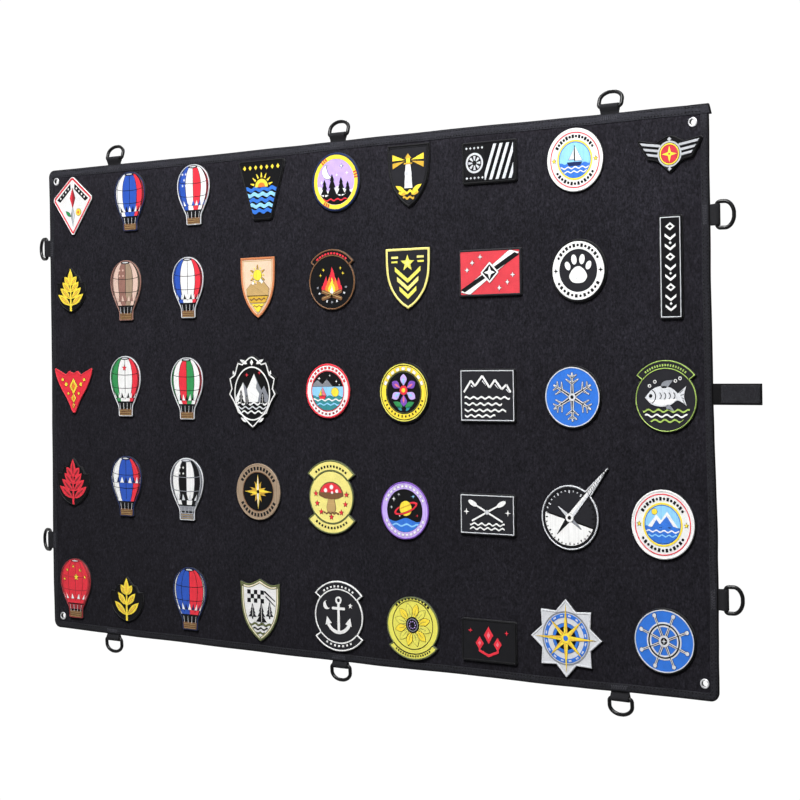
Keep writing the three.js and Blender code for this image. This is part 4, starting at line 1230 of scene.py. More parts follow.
def crescent(u, v, r, deg, bite=0.62, n=22):
    a = math.radians(deg)
    outer = [(r * math.cos(t), r * math.sin(t)) for t in (math.radians(60 + 240 * i / n) for i in range(n + 1))]
    x0 = outer[0][0]
    inner = [(x0 + (q[0] - x0) * (1 - bite), q[1] * 0.96) for q in reversed(outer[1:-1])]
    return ccw([(u + x * math.cos(a) - y * math.sin(a), v + x * math.sin(a) + y * math.cos(a)) for x, y in outer + inner])


def flame(u, v, h, w, lean=0.0):
    pts = [(0, 0), (.34, .04), (.5, .22), (.44, .42), (.26, .6), (.2, .78), (.06 + lean, 1.0), (-.08, .76), (-.2, .62), (-.3, .5), (-.46, .36), (-.48, .18), (-.3, .03)]
    return ccw(soften([(u + a * w, v + b * h) for a, b in pts], 3, 60))


def moved(p, du=0.0, dv=0.0, deg=0.0):
    c, s = math.cos(math.radians(deg)), math.sin(math.radians(deg))
    return [(u * c - v * s + du, u * s + v * c + dv) for u, v in p]


# --------------------------------------------------------------------------
# patches: building
# --------------------------------------------------------------------------
Y_HOOK, Y_GROUND, RAISE = -4.2, -6.5, 0.8
DARK = ("black", "soot", "charcoal", "navy", "brown", "dred")


class Patch:
    """Hook backing, stuffed twill body, overlocked border and raised stitching,
    one mesh of closed shells."""

    def __init__(self, name, cx, cz, kind, w, h, border, ground, bw=2.4, side="black"):
        self.name, self.cx, self.cz, self.w, self.h, self.bw = name, cx, cz, w, h, bw
        self.m = Mesh(("run",))
        self.mats = []
        self.p = ccw(outline(kind, w, h))
        if kind.startswith("rocker"):
            self.disc = rocker_disc(w, h, "t" in kind[6:], "b" in kind[6:])
        self.field = offset(self.p, bw - 0.5)
        self.shell(offset(self.p, -0.35), Y_HOOK, -5.75 - RAISE, 0.5, HOOK)
        self.shell(offset(self.p, 0.55), -5.5, Y_GROUND, 0.3, twill(ground), 0.0)
        if border:
            self.rim(border, side)

    def use(self, mat):
        if mat not in self.mats:
            self.mats.append(mat)
        return self.mats.index(mat)

    def put(self, verts, faces, mat, run):
        up = 0.0 if mat is HOOK else RAISE
        self.m.add([(self.cx + u, y - up, self.cz + v) for u, y, v in verts], faces, self.use(mat), run=run)

    def shell(self, p, y0, y1, bevel, mat, lay=0.0):
        """Closed plate over an outline from y0 (back) to y1 (front)."""
        p = ccw(p)
        n = len(p)
        loops = [(p, y0), (p, y1 + bevel), (offset(p, bevel), y1)]
        verts = [(u, y, v) for q, y in loops for u, v in q]
        faces = grid_faces(3, n, close_n=False)
        faces += [tuple(2 * n + i for i in f) for f in tess([loops[2][0]])] + [f[::-1] for f in tess([p])]
        c, s = math.cos(lay), math.sin(lay)
        self.put(verts, faces, mat, [(u * c + v * s) * MM for u, _, v in verts])

    def fill(self, p, colour, lift=0.3, deg=0.0, edge=0.16):
        """A raised field of stitches."""
        if len(p) > 2 and abs(area2(p)) > 0.3:
            if lift > 0.38 and colour not in DARK and abs(area2(p)) > 14:
                self.shell(offset(ccw(p), -0.45), Y_GROUND + 0.25, Y_GROUND - lift + 0.14, edge, thread("black"), math.radians(deg))
            self.shell(p, Y_GROUND + 0.25, Y_GROUND - lift, edge, thread(colour), math.radians(deg))

    def inside(self, p, colour, lift=0.3, deg=0.0, field=None):
        """The same, cut to a convex field."""
        self.fill(clip(ccw(p), ccw(field or self.field)), colour, lift, deg)

    def ring(self, outer, inner, colour, lift=0.3, deg=0.0):
        """A raised band between two outlines with the same number of points."""
        o, i = ccw(outer), ccw(inner)
        n = len(o)
        y0, y1 = Y_GROUND + 0.25, Y_GROUND - lift
        loops = [(o, y0), (o, y1 + 0.14), (offset(o, 0.14), y1), (offset(i, -0.14), y1), (i, y1 + 0.14), (i, y0)]
        verts = [(u, y, v) for q, y in loops for u, v in q]
        faces = grid_faces(6, n)
        c, s = math.cos(math.radians(deg)), math.sin(math.radians(deg))
        self.put(verts, faces, thread(colour), [(u * c + v * s) * MM for u, _, v in verts])

    def rim(self, colour, side):
        """Overlocked edge: thread wound round the rim, so it is ribbed across."""
        pts = even(self.p, 0.72)
        n, bw = len(pts), self.bw
        sec = [(0.9, -5.4), (0.2, -5.6), (0.0, -6.05), (0.1, -6.5), (0.45, -6.95), (bw * 0.5, -7.16), (bw - 0.45, -6.98), (bw, -6.62), (bw - 0.1, -6.2), (bw * 0.5, -5.6)]
        verts, run = [], []
        for i, (u, v) in enumerate(pts):
            (au, av), (bu, bv) = pts[i - 1], pts[(i + 1) % n]
            l = math.hypot(bu - au, bv - av) or 1e-9
            nu, nv = -(bv - av) / l, (bu - au) / l
            rib = 0.07 if i % 2 else -0.05
            for k, (t, y) in enumerate(sec):
                k_rib = rib if 1 <= k <= 7 else 0.0
                verts.append((u + nu * (t - (k_rib if k < 5 else 0)), y - (k_rib if k > 3 else 0), v + nv * (t - (k_rib if k < 5 else 0))))
                run.append(i * 0.72 * MM)
        k = len(sec)
        faces = grid_faces(n, k)
        self.put(verts, [f[::-1] for f in faces], thread(colour), run)

    def dashes(self, r, w, l, colour, a0, a1, count, lift=0.5, skip=()):
        """Short bars set round a circle, lengthwise along it."""
        for i in range(count):
            if i in skip:
                continue
            a = a0 + (a1 - a0) * (i + 0.5) / count
            t = math.degrees(l / r)
            self.fill(arc_band(r - w / 2, r + w / 2, a - t / 2, a + t / 2, 4), colour, lift, a)

    def sash(self, colour, top, t=1.7, lift=0.45, half=50):
        """The line that parts a rocker's band from its disc."""
        rx, ry, cv = self.disc
        a0 = 90 if top else 270
        ang = [math.radians(a0 - half + 2 * half * i / 24) for i in range(25)]
        k = 0.985
        outer = [(rx * k * math.cos(a), cv + ry * k * math.sin(a)) for a in ang]
        inner = [((rx * k - t) * math.cos(a), cv + (ry * k - t) * math.sin(a)) for a in reversed(ang)]
        self.fill(ccw(outer + inner), colour, lift, 0)

    def band(self, colour, top, count, w, l, out=0.5, half=40, lift=0.45):
        """Short bars along the middle of a rocker's band."""
        rx, ry, cv = self.disc
        reach = max(v for _, v in self.p) if top else -min(v for _, v in self.p)
        gap = reach - (ry + cv if top else ry - cv)
        a0 = 90 if top else 270
        for i in range(count):
            a = math.radians(a0 - half + 2 * half * (i + 0.5) / count)
            c, sn = math.cos(a), math.sin(a)
            u, v = (rx + gap * out) * c, cv + (ry + gap * out) * sn
            self.fill(moved(rounded_rect(w, l, 0.3, 2), u, v, math.degrees(a)), colour, lift, math.degrees(a))

    def done(self):
        body = self.name.replace("patch_", "removable_") if self.name in CAD_PATCHES else "board"
        reps = (self.name,) if self.name in CAD_PATCHES else ()
        self.m.object("sewn_" + self.name[6:], self.mats, sharp=42, body=body, replaces=reps, slot="patch_embroidery")


CAD_PATCHES = {"patch_r%dc%d" % (r, c) for r in (1, 3, 5) for c in range(1, 10)}


def half_width(p, v):
    """Half the width of a symmetric outline at height v."""
    best = 0.0
    for i in range(len(p)):
        (a, b), (c, d) = p[i - 1], p[i]
        if (b - v) * (d - v) <= 0 and b != d:
            best = max(best, a + (c - a) * (v - b) / (d - b))
    return best


def balloon(name, cx, cz, w, h, border, gores, band=None, spots=None, basket="brown", seam="black"):
    """A hot-air balloon: striped envelope, banded skirt and basket."""
    q = Patch(name, cx, cz, "balloon", w, h, border, "black", bw=1.7)
    s = h / 2.73
    low, high = (-0.74 + 0.055) * s, (1.31 + 0.055) * s - 1.9
    vs = [low + (high - low) * i / 22 for i in range(23)]
    n = len(gores)
    inner = 1.55

    def edge(f, v):
        hw = max(half_width(q.p, v) - inner, 0.2)
        return hw * math.sin(f * math.pi / 2) * (0.97 if abs(f) == 1 else 1.0)

    fs = [-1 + 2 * i / n for i in range(n + 1)]
    for i, colour in enumerate(gores):
        left = [(edge(fs[i], v), v) for v in vs]
        right = [(edge(fs[i + 1], v), v) for v in vs]
        q.fill(ccw(left + right[::-1]), colour, 0.34, 90 * fs[i])
    for f in fs[1:-1]:
        if abs(f) < 0.99:
            mid = [(edge(f, v), v) for v in vs[1:-1]]
            q.fill(ccw([(u - 0.5, v) for u, v in mid] + [(u + 0.5, v) for u, v in reversed(mid)]), seam, 0.46, 0)
    for sg in (1, -1):
        rim_in = [(sg * (edge(1, v) - 0.2), v) for v in vs]
        q.fill(ccw(rim_in + [(u - sg * (1.0 + 0.8 * (sg > 0)), v) for u, v in reversed(rim_in)]), seam, 0.5, 0)
    for f, sag in ((0.34, 3.4), (0.66, 4.6)):
        v0 = low + (high - low) * f
        line = [(edge(k / 8, v0) * 0.97, v0 - sag * math.cos(k / 8 * math.pi / 2)) for k in range(-8, 9)]
        q.fill(ccw(line + [(u, v + 0.95) for u, v in reversed(line)]), seam, 0.48, 90)
    q.fill(circle(w * 0.15, 0, high - 1.6, 24, ry=2.2), seam, 0.54, 0)
    q.fill(circle(w * 0.1, 0, high - 1.4, 20, ry=1.0), "silver", 0.64, 0)
    if band:
        a, b, colours = band
        k = 11
        for j in range(k):
            f0, f1 = -1 + 2 * j / k, -1 + 2 * (j + 1) / k
            va, vb = low + (high - low) * a, low + (high - low) * b
            tri = [(edge(f0, va), va), (edge(f1, va), va), (edge((f0 + f1) / 2, vb), vb)]
            q.fill(ccw(tri), colours[j % len(colours)], 0.52, 45)
    for u, v, r, colour in (spots or []):
        q.fill(star(5, r, r * 0.42, u, v), colour, 0.6, 45)
    hw = half_width(q.p, -0.98 * s) - 1.7
    q.fill([(-hw, -0.96 * s), (hw, -0.96 * s), (hw + 2.6, -0.735 * s), (-hw - 2.6, -0.735 * s)], seam, 0.3, 90)
    for f in (-0.78, -0.26, 0.26, 0.78):
        q.fill(bar((f * hw, -1.06 * s), (f * (hw + 2), -0.76 * s), 0.8), "silver", 0.5, 90)
    q.fill([(-hw * 0.92, -1.34 * s), (hw * 0.92, -1.34 * s), (hw, -1.03 * s), (-hw, -1.03 * s)], basket, 0.4, 0)
    for j in range(3):
        v = (-1.29 + 0.09 * j) * s
        q.fill(bar((-hw * 0.86, v), (hw * 0.86, v), 0.7), "tan", 0.56, 90)
    q.done()


def sprig(name, cx, cz, w, h, colour, accent, deg=38, pairs=4, tip=True):
    """Leafy stem on a dark leaf-shaped ground."""
    q = Patch(name, cx, cz, "leaf", w, h, "black", "black", bw=1.2)
    q.fill(bar((0, -h * 0.485), (0, h * 0.3), 4.2, 2.0), colour, 0.5, 90)
    for i in range(pairs):
        f = i / (pairs - 1)
        v = h * (-0.36 + 0.46 * f)
        turn = deg + 14 * f
        l = 0.98 * min(w * 0.48 / math.cos(math.radians(turn)), h * (0.48 - 0.2 * f))
        for sgn in (1, -1):
            q.fill(petal(sgn * 0.8, v, l, h * 0.155, 90 - sgn * (90 - turn), peak=0.5), colour, 0.45 + 0.03 * i, 90 - sgn * 52)
            q.fill(petal(sgn * 2.6, v + 1.6, l * 0.72, h * 0.045, 90 - sgn * (90 - turn), peak=0.5), accent, 0.6 + 0.03 * i, 90 - sgn * 52)
    if tip:
        q.fill(petal(0, h * 0.1, h * 0.385, h * 0.16, 90, peak=0.42), colour, 0.62, 90)
        q.fill(petal(0, h * 0.16, h * 0.25, h * 0.055, 90, peak=0.42), accent, 0.74, 90)
    q.done()


# --------------------------------------------------------------------------
# patches: row 1
# --------------------------------------------------------------------------
q = Patch("patch_r1c1", -495.4, 293.1, "kite", 80.8, 87.2, "white", "white", bw=1.5)
q.ring(offset(q.p, 1.6), offset(q.p, 4.1), "red", 0.42, 20)
for sg in (1, -1):
    q.fill([(sg * 4.5, 33.6), (sg * 33.0, 10.2), (sg * 26.4, 6.4), (sg * 3.6, 25.2)], "black", 0.34, 45 * sg)
    for k in range(4):
        q.fill(rhomb(sg * (8.6 + 5.5 * k), 26.0 - 4.5 * k, 3.4, 4.2), "white", 0.55, 45)
q.fill(rhomb(0, 12, 11, 30), "red", 0.55, 60)
q.fill([(0, 27), (0, -3), (5.5, 12)], "dred", 0.62, 60)
q.fill([(0, -2), (3.6, -14), (0, -31), (-3.6, -14)], "grey", 0.5, 90)
q.fill([(0, -2), (3.6, -14), (0, -31)], "silver", 0.6, 90)
q.fill(circle(5.2, 12.2, -10), "yellow", 0.5, 20)
q.fill(circle(2.4, 12.2, -10), "orange", 0.62, 20)
q.fill(petal(-4.5, -16, 13, 5, 140), "green", 0.5, 140)
q.done()

balloon("patch_r1c2", -376.2, 292.6, 61, 87, "navy", ["white", "white", "cobalt", "cobalt", "red", "red"], band=(0.1, 0.24, ["black", "white"]))
balloon("patch_r1c3", -250.7, 294.5, 62, 87, "silver", ["cobalt", "cobalt", "white", "red", "white", "red"], band=(0.1, 0.22, ["white", "cobalt"]),
        spots=[(-20 + 6.4 * (i % 3) + 3 * (i // 3 % 2), 30 - 8.2 * (i // 3), 2.3, "white") for i in range(9)])

q = Patch("patch_r1c4", -123.4, 292.9, "wedge", 82.5, 82.8, "black", "black", bw=2.2)
for i in range(7):
    q.fill(rhomb(-30 + 10 * i, 31.5, 5.6, 6.6), "yellow", 0.5, 45)
q.fill(arc_band(0.01, 11.5, 0, 180, 24, 0, 4), "yellow", 0.5, 0)
q.fill(arc_band(0.01, 6.6, 0, 180, 18, 0, 4), "orange", 0.62, 90)
for a in range(15, 180, 25):
    q.fill(ray(0, 4, 13.5, 20.5, a, 3.2, 1.0), "yellow", 0.5, a)
wedge_in = offset(q.p, 3.0)
for k, (v, c) in enumerate(((1.2, "blue"), (-6.4, "lblue"), (-14.0, "blue"), (-21.6, "lblue"), (-29.2, "blue"))):
    q.inside(wave(-36, 36, v, 1.5, 15, 5.4, 0.9 * k), c, 0.45, 0, wedge_in)
q.done()

q = Patch("patch_r1c5", 6.1, 295.2, "disc", 80, 79, "navy", "lilac", bw=3.2)
q.ring(circle(36.8), circle(31.2), "yellow", 0.34, 0)
for a in (8, 14, 20, 118, 124, 130, 236, 242, 248):
    q.fill(ray(0, 0, 32.0, 36.8, a, 1.5, 1.5), "red", 0.5, a)
sky = circle(30.6)
q.fill(crescent(-13, 14, 9.5, 25), "white", 0.5, 30)
for u, v, r in ((10, 21, 2.2), (19, 11, 1.8), (2, 9, 1.6), (-24, 0, 1.7)):
    q.fill(star(4, r * 1.5, r * 0.5, u, v), "white", 0.5, 0)
q.inside(sea(-32, 32, -9, 3.4, 34, -32, 0.6), "white", 0.34, 20, sky)
q.inside(sea(-32, 32, -17, 2.4, 27, -32, 2.6), "black", 0.44, 0, sky)
for u, b, hh, ww in ((-19, -20, 24, 13), (-6, -22, 33, 16), (9, -21, 27, 14), (20, -19, 19, 11)):
    q.inside(pine(u, b, hh, ww), "black", 0.56, 90, sky)
q.inside(wave(-26, 26, -24, 1.2, 12, 2.0), "red", 0.62, 0, sky)
q.done()

q = Patch("patch_r1c6", 125.5, 294.9, "shield", 66, 82, "black", "charcoal", bw=2.6)
q.ring(offset(q.p, 3.4), offset(q.p, 4.3), "black", 0.3, 0)
q.fill([(-6.4, -16), (6.4, -16), (3.9, 15), (-3.9, 15)], "white", 0.5, 0)
for v in (-10, 1):
    q.fill([(-6.1 + (v + 10) * 0.04, v), (6.1 - (v + 10) * 0.04, v), (5.7 - (v + 10) * 0.04, v + 5), (-5.7 + (v + 10) * 0.04, v + 5)], "silver", 0.62, 0)
q.fill(bar((-6.6, 16.2), (6.6, 16.2), 2.0), "gold", 0.6, 90)
q.fill(bar((0, 17.2), (0, 23), 6.4), "yellow", 0.55, 0)
q.fill([(-5.2, 23), (5.2, 23), (0, 29.5)], "gold", 0.6, 0)
for sg in (1, -1):
    q.fill([(sg * 5, 21), (sg * 25, 29), (sg * 25, 20.5)], "yellow", 0.42, 90)
    q.fill([(sg * 5, 19.5), (sg * 25, 17.5), (sg * 24.6, 10)], "gold", 0.42, 90)
    q.fill(petal(sg * 6, -20, 17, 6, 90 - sg * 62), "yellow", 0.45, 90 - sg * 62)
    q.fill(petal(sg * 4, -24, 13, 5, 90 - sg * 80), "gold", 0.45, 90 - sg * 80)
q.fill(wave(-15, 15, -21, 1.4, 10, 3.4), "yellow", 0.55, 0)
q.fill(wave(-9, 9, -28.5, 1.2, 9, 3.0), "gold", 0.55, 0)
q.done()

q = Patch("patch_r1c7", 249.7, 303.8, "rect", 80.3, 52.8, "black", "black", bw=2.4)
flag_in = rounded_rect(72.5, 45, 0.6, 2)
for i in range(6):
    u = 2 + 9.6 * i
    q.inside([(u - 12, -24), (u - 7.4, -24), (u + 10.4, 24), (u + 5.8, 24)], "silver", 0.42, 60, flag_in)
q.fill(moved(rounded_rect(30, 45, 0.6, 2), -21.2), "black", 0.5, 0)
q.ring([(u - 21.2, v) for u, v in circle(13)], [(u - 21.2, v) for u, v in circle(10.4)], "silver", 0.66, 0)
for i in range(8):
    q.fill(ray(-21.2, 0, 3.2, 9, 45 * i, 1.4, 3.6), "silver", 0.66, 45 * i)
for v in (19, -19):
    for i in range(5):
        q.fill(rhomb(-33 + 5.9 * i, v, 3.4, 3.4), "silver", 0.66, 0)
q.done()


def sail_roundel(name, cx, cz, w, variant):
    """White roundel, red and yellow rings, beaded band and a seascape."""
    q = Patch(name, cx, cz, "disc", w, w, "white", "white", bw=2.6)
    r = w / 2
    q.ring(circle(r - 4.6), circle(r - 5.9), "red", 0.4, 0)
    q.ring(circle(r * 0.63), circle(r * 0.575), "yellow", 0.5, 0)
    q.ring(circle(r * 0.575), circle(r * 0.545), "blue", 0.45, 0)
    core = circle(r * 0.55)
    q.fill(core, "lblue", 0.32, 0)
    rr = r * 0.745
    for a0, a1, k in ((28, 152, 14), (208, 332, 13)):
        for i in range(k):
            a = a0 + (a1 - a0) * (i + 0.5) / k
            q.fill(arc_band(rr - 2.2, rr + 2.2, a - 3.0, a + 3.0, 3) if i % 2 else circle(1.7, rr * math.cos(math.radians(a)), rr * math.sin(math.radians(a)), 16), "black", 0.5, a)
    for a in (0, 180):
        q.fill(star(5, 3.0, 1.25, rr * math.cos(math.radians(a)), rr * math.sin(math.radians(a))), "yellow", 0.55, 0)
    if variant == 0:
        q.inside(sea(-22, 22, -4, 1.0, 11, -22), "blue", 0.45, 0, core)
        q.inside(wave(-22, 22, -9.5, 1.1, 10, 1.8, 1.2), "white", 0.56, 0, core)
        q.inside(wave(-22, 22, -14.5, 1.0, 9, 1.6, 2.4), "white", 0.56, 0, core)
        q.fill([(-11, -2.5), (11, -2.5), (7.4, -7.4), (-8, -7.4)], "navy", 0.66, 0)
        q.fill([(0.8, -1), (0.8, 16.5), (10.4, -1)], "white", 0.6, 90)
        q.fill([(-0.8, 0.6), (-0.8, 14), (-8.4, 0.6)], "silver", 0.6, 90)
        q.fill(bar((0, -2), (0, 18), 1.0), "black", 0.66, 90)
    else:
        q.inside([(-20, -3), (-8, 12), (-2, 5), (6, 16), (20, -3)], "white", 0.45, 60, core)
        q.inside([(-14, -3), (-8, 6), (-3.5, 0.5), (5.5, 10.5), (15, -3)], "blue", 0.55, 60, core)
        q.inside(sea(-22, 22, -3, 0.9, 12, -22), "blue", 0.6, 0, core)
        q.inside(wave(-22, 22, -8, 1.1, 10, 1.9, 0.4), "white", 0.68, 0, core)
        q.inside(wave(-22, 22, -13.2, 1.0, 9, 1.7, 2.0), "lblue", 0.68, 0, core)
        q.fill(circle(3.6, -10.5, 15.2, 24), "yellow", 0.55, 0)
    q.done()


sail_roundel("patch_r1c8", 373.9, 296.9, 78, 0)

q = Patch("patch_r1c9", 501.5, 294.2, "wings", 84, 43, "black", "black", bw=1.3)
for sg in (1, -1):
    for k, (v0, v1, u1) in enumerate(((8.6, 12.2, 38.8), (2.4, 5.6, 34.8), (-3.6, -0.8, 30.6))):
        q.fill(ccw([(sg * 12, v0), (sg * (u1 - 2.6), v1), (sg * u1, v1 + 3.4), (sg * 12, v0 + 3.0)]), "steel", 0.5, 90)
    q.fill(rhomb(0, sg * 17.6, 5.4, 5.0), "steel", 0.5, 0)
q.fill(circle(15.6), "steel", 0.46, 0)
q.fill(circle(13.6), "black", 0.54, 0)
q.ring(circle(12.8), circle(11.2), "yellow", 0.62, 0)
q.fill(circle(11.0), "crimson", 0.6, 30)
q.fill(star(4, 9.8, 3.0), "yellow", 0.76, 0)
q.fill(rhomb(0, 0, 3.4, 3.4), "crimson", 0.86, 0)
q.done()

# --------------------------------------------------------------------------
# patches: row 2
# --------------------------------------------------------------------------
sprig("patch_r2c1", -502.4, 165.7, 59.8, 66.5, "yellow", "amber", deg=34)
balloon("patch_r2c2", -387.2, 161.3, 62, 89, "wood", ["wood", "blush", "wood", "dun", "blush", "dun"], band=(0.1, 0.24, ["blush", "wood"]),
        spots=[(-19 + 7 * (i % 3), 30 - 8.5 * (i // 3), 2.2, "blush") for i in range(6)])
balloon("patch_r2c3", -264.0, 161.6, 60, 88, "silver", ["cobalt", "cobalt", "white", "white", "red", "red"], band=(0.08, 0.2, ["black", "white"]))

q = Patch("patch_r2c4", -133.2, 157.0, "shield", 61.4, 84.8, "copper", "sand", bw=3.4)
q.ring(offset(q.p, 4.6), offset(q.p, 5.4), "tan", 0.3, 0)
q.fill(circle(7.6, 0, 17.5), "yellow", 0.5, 0)
for i in range(12):
    q.fill(ray(0, 17.5, 9.4, 14.2 if i % 2 else 12.4, 30 * i, 2.4, 0.9), "gold" if i % 2 else "yellow", 0.5, 30 * i)
q.fill([(-20.5, -2), (-8, 9), (-2.6, 3.6), (6, 13), (20.5, -2), (18.5, -11), (-18.5, -11)], "tan", 0.45, 60)
q.fill([(6, 13), (10.6, 8), (7.2, 5.4), (5.4, 7.6), (2.2, 8.9)], "white", 0.58, 60)
q.fill([(-8, 9), (-5.4, 6.4), (-8.2, 4.0), (-11, 6.2)], "white", 0.58, 60)
q.fill([(-18.5, -12), (18.5, -12), (13.4, -21), (-13.4, -21)], "gold", 0.5, 0)
q.fill(wave(-14, 14, -16.2, 1.2, 9, 2.2), "brown", 0.62, 0)
q.fill([(-11.6, -22.5), (11.6, -22.5), (1.4, -34), (-1.4, -34)], "yellow", 0.45, 0)
q.fill(wave(-8, 8, -26, 0.9, 8, 1.6), "brown", 0.6, 0)
q.done()

q = Patch("patch_r2c5", -3.1, 163.8, "rockert", 77.9, 82, "brown", "black", bw=2.0)
q.sash("brown", True, 1.5)
q.band("red", True, 11, 2.6, 3.4, out=0.2)
for u, hh, ww, c, lf in ((-11, 24, 13, "red", 0.4), (11, 22, 13, "red", 0.4), (0, 36, 22, "red", 0.44), (-5, 24, 12, "orange", 0.54), (6, 22, 11, "orange", 0.54), (0, 22, 12, "yellow", 0.64), (0, 11, 6, "white", 0.74)):
    q.fill(flame(u, -19, hh, ww, 0.08 if u < 0 else -0.05), c, lf, 90)
for a in (18, -18):
    q.fill(moved(rounded_rect(36, 5.4, 2.2, 4), 0, -21, a), "brown", 0.7, a + 90)
    q.fill(moved(rounded_rect(34, 1.0, 0.4, 2), 0, -20.4, a), "tan", 0.8, a + 90)
for i in range(9):
    a = 190 + 160 * i / 8
    q.fill(ray(0, -6.5, 22.4, 25.8, a, 2.2, 2.8), "silver" if i % 2 else "grey", 0.5, a)
for u, v in ((-19, 6), (19, 8), (-14, 13), (15, 15)):
    q.fill(star(4, 2.4, 0.8, u, v), "yellow", 0.5, 0)
q.done()

q = Patch("patch_r2c6", 122.2, 160.6, "shield", 70, 79.6, "straw", "charcoal", bw=3.2)
for k in range(3):
    q.fill(chevron(0, -27 + 10.5 * k, 27 + 7.0 * k, 11 + 2.4 * k, 6.0), "lemon" if k != 1 else "straw", 0.5, 45)
q.fill(star(5, 11.5, 4.8, 0, 20), "lemon", 0.55, 30)
q.fill(star(5, 5.2, 2.2, 0, 20), "straw", 0.68, 30)
for sg in (1, -1):
    q.fill(bar((sg * 15, 28), (sg * 26, 28), 3.0), "straw", 0.5, 90)
    q.fill(bar((sg * 16, 22), (sg * 26, 22), 2.4), "lemon", 0.5, 90)
q.done()

q = Patch("patch_r2c7", 248.7, 163.8, "rect", 92.4, 59.3, "charcoal", "brick", bw=2.4)
flag2 = rounded_rect(87, 54, 0.6, 2)
q.inside([(-44, -24), (-30, -27.5), (44, 24), (30, 27.5)], "white", 0.42, 30, flag2)
q.inside([(-44, -21.2), (-37.4, -24.4), (44, 21.2), (37.4, 24.4)], "black", 0.54, 30, flag2)
q.fill(rhomb(0, 0, 27, 27), "white", 0.62, 45)
q.fill(rhomb(0, 0, 21.5, 21.5), "black", 0.7, 45)
q.fill(star(4, 8.6, 3.2), "white", 0.8, 0)
for u, v in ((-26, 13), (26, -13), (-34, 4), (34, -4), (-14, 20), (14, -20)):
    q.fill(star(4, 3.6, 1.3, u, v), "white", 0.45, 0)
q.done()

q = Patch("patch_r2c8", 376.4, 161.3, "disc", 77, 77, "black", "charcoal", bw=2.2)
q.ring(circle(36.0), circle(26.4), "white", 0.4, 0)
for a0, a1, k in ((25, 155, 13), (205, 335, 12)):
    for i in range(k):
        a = a0 + (a1 - a0) * (i + 0.5) / k
        q.fill(arc_band(29.0, 33.4, a - 3.4, a + 3.4, 3) if i % 2 else circle(1.8, 31.2 * math.cos(math.radians(a)), 31.2 * math.sin(math.radians(a)), 16), "black", 0.54, a)
for a in (0, 180):
    q.fill(star(4, 3.6, 1.3, 31.2 * math.cos(math.radians(a)), 0), "black", 0.54, 0)
q.fill(soften([(0, -15.5), (8, -14), (12.5, -7.5), (9.5, -0.5), (4.2, 4.2), (0, 5), (-4.2, 4.2), (-9.5, -0.5), (-12.5, -7.5), (-8, -14)], 4, 80), "white", 0.5, 0)
for u, v, rx, ry, t in ((-14.5, 6, 3.6, 5.6, 24), (-5.6, 13.6, 3.8, 6.2, 8), (5.6, 13.6, 3.8, 6.2, -8), (14.5, 6, 3.6, 5.6, -24)):
    q.fill(moved(circle(rx, n=28, ry=ry), u, v, t), "white", 0.5, 90)
q.fill(wave(-8, 8, -8.6, 0.8, 8, 1.2), "silver", 0.62, 0)
q.done()

q = Patch("patch_r2c9", 500.8, 160.6, "rect", 29.9, 122.5, "black", "black", bw=1.4)
q.ring(rounded_rect(26.4, 119, 0.6, 3), rounded_rect(24.2, 116.8, 0.5, 3), "silver", 0.45, 0)
for i in range(9):
    v = 48 - 12 * i
    if i % 3 == 0:
        q.fill(rhomb(0, v, 12.6, 9.6), "white", 0.5, 0)
        q.fill(rhomb(0, v, 6.6, 4.8), "black", 0.6, 0)
    elif i % 3 == 1:
        q.fill(chevron(0, v - 4.6, 14, 5.2, 3.2), "white", 0.5, 45)
    else:
        q.fill(chevron(0, v - 4.6, 14, 5.2, 3.2), "white", 0.5, 45)
        q.fill(rhomb(0, v + 4.6, 3.6, 3.6), "white", 0.5, 45)
q.done()

# --------------------------------------------------------------------------
# patches: row 3
# --------------------------------------------------------------------------
q = Patch("patch_r3c1", -499.5, 12.7, "wing_wedge", 80, 68.3, "red", "red", bw=2.2)
for k, (v, w, h) in enumerate(((6.5, 17, 24), (-11.5, 10.5, 14), (-22.6, 5.4, 8))):
    q.fill(rhomb(0, v, w, h), "yellow", 0.5, 35)
    q.fill(rhomb(0, v, w * 0.5, h * 0.5), "orange" if k < 2 else "red", 0.64, 60)
for sg in (1, -1):
    for u, v, r in ((15.5, 9.5, 2.9), (23.0, 16.5, 2.3), (11.0, -4.5, 1.9)):
        q.fill(circle(r, sg * u, v, n=20), "yellow", 0.56, 0)
q.done()

balloon("patch_r3c2", -391.2, 19.3, 62, 89.5, "silver", ["green", "green", "white", "white", "red", "red"], band=(0.08, 0.2, ["black", "white"]),
        spots=[(-1.0, 27, 4.6, "red")])
balloon("patch_r3c3", -268.9, 16.0, 62, 89.5, "silver", ["green", "white", "red", "green", "white", "red"], band=(0.08, 0.22, ["white", "black"]))

q = Patch("patch_r3c4", -146.3, 11.1, "almond", 88, 103, "black", "black", bw=1.5)
q.ring(offset(q.p, 1.6), offset(q.p, 3.4), "white", 0.4, 0)
q.ring(circle(32.5, 0, -2, ry=38), circle(30.6, 0, -2, ry=36), "white", 0.45, 0)
oval = circle(30.0, 0, -2, ry=35.4)
q.inside([(-34, -14), (-16, 14), (-9, 4), (4, 26), (17, 3), (22, 9), (34, -14)], "white", 0.46, 60, oval)
q.inside([(4, 26), (17, 3), (22, 9), (34, -14), (10, -14), (13, -2), (7, 6), (9, 14)], "grey", 0.56, 60, oval)
q.inside([(-16, 14), (-9, 4), (-6, -14), (-12, -14), (-14, 0)], "grey", 0.56, 60, oval)
q.inside(wave(-30, 30, -16, 1.6, 13, 2.6), "white", 0.6, 0, oval)
q.inside(wave(-30, 30, -22, 1.6, 13, 2.2, 1.3), "silver", 0.6, 0, oval)
q.inside(wave(-30, 30, -28, 1.6, 13, 2.4, 2.4), "white", 0.6, 0, oval)
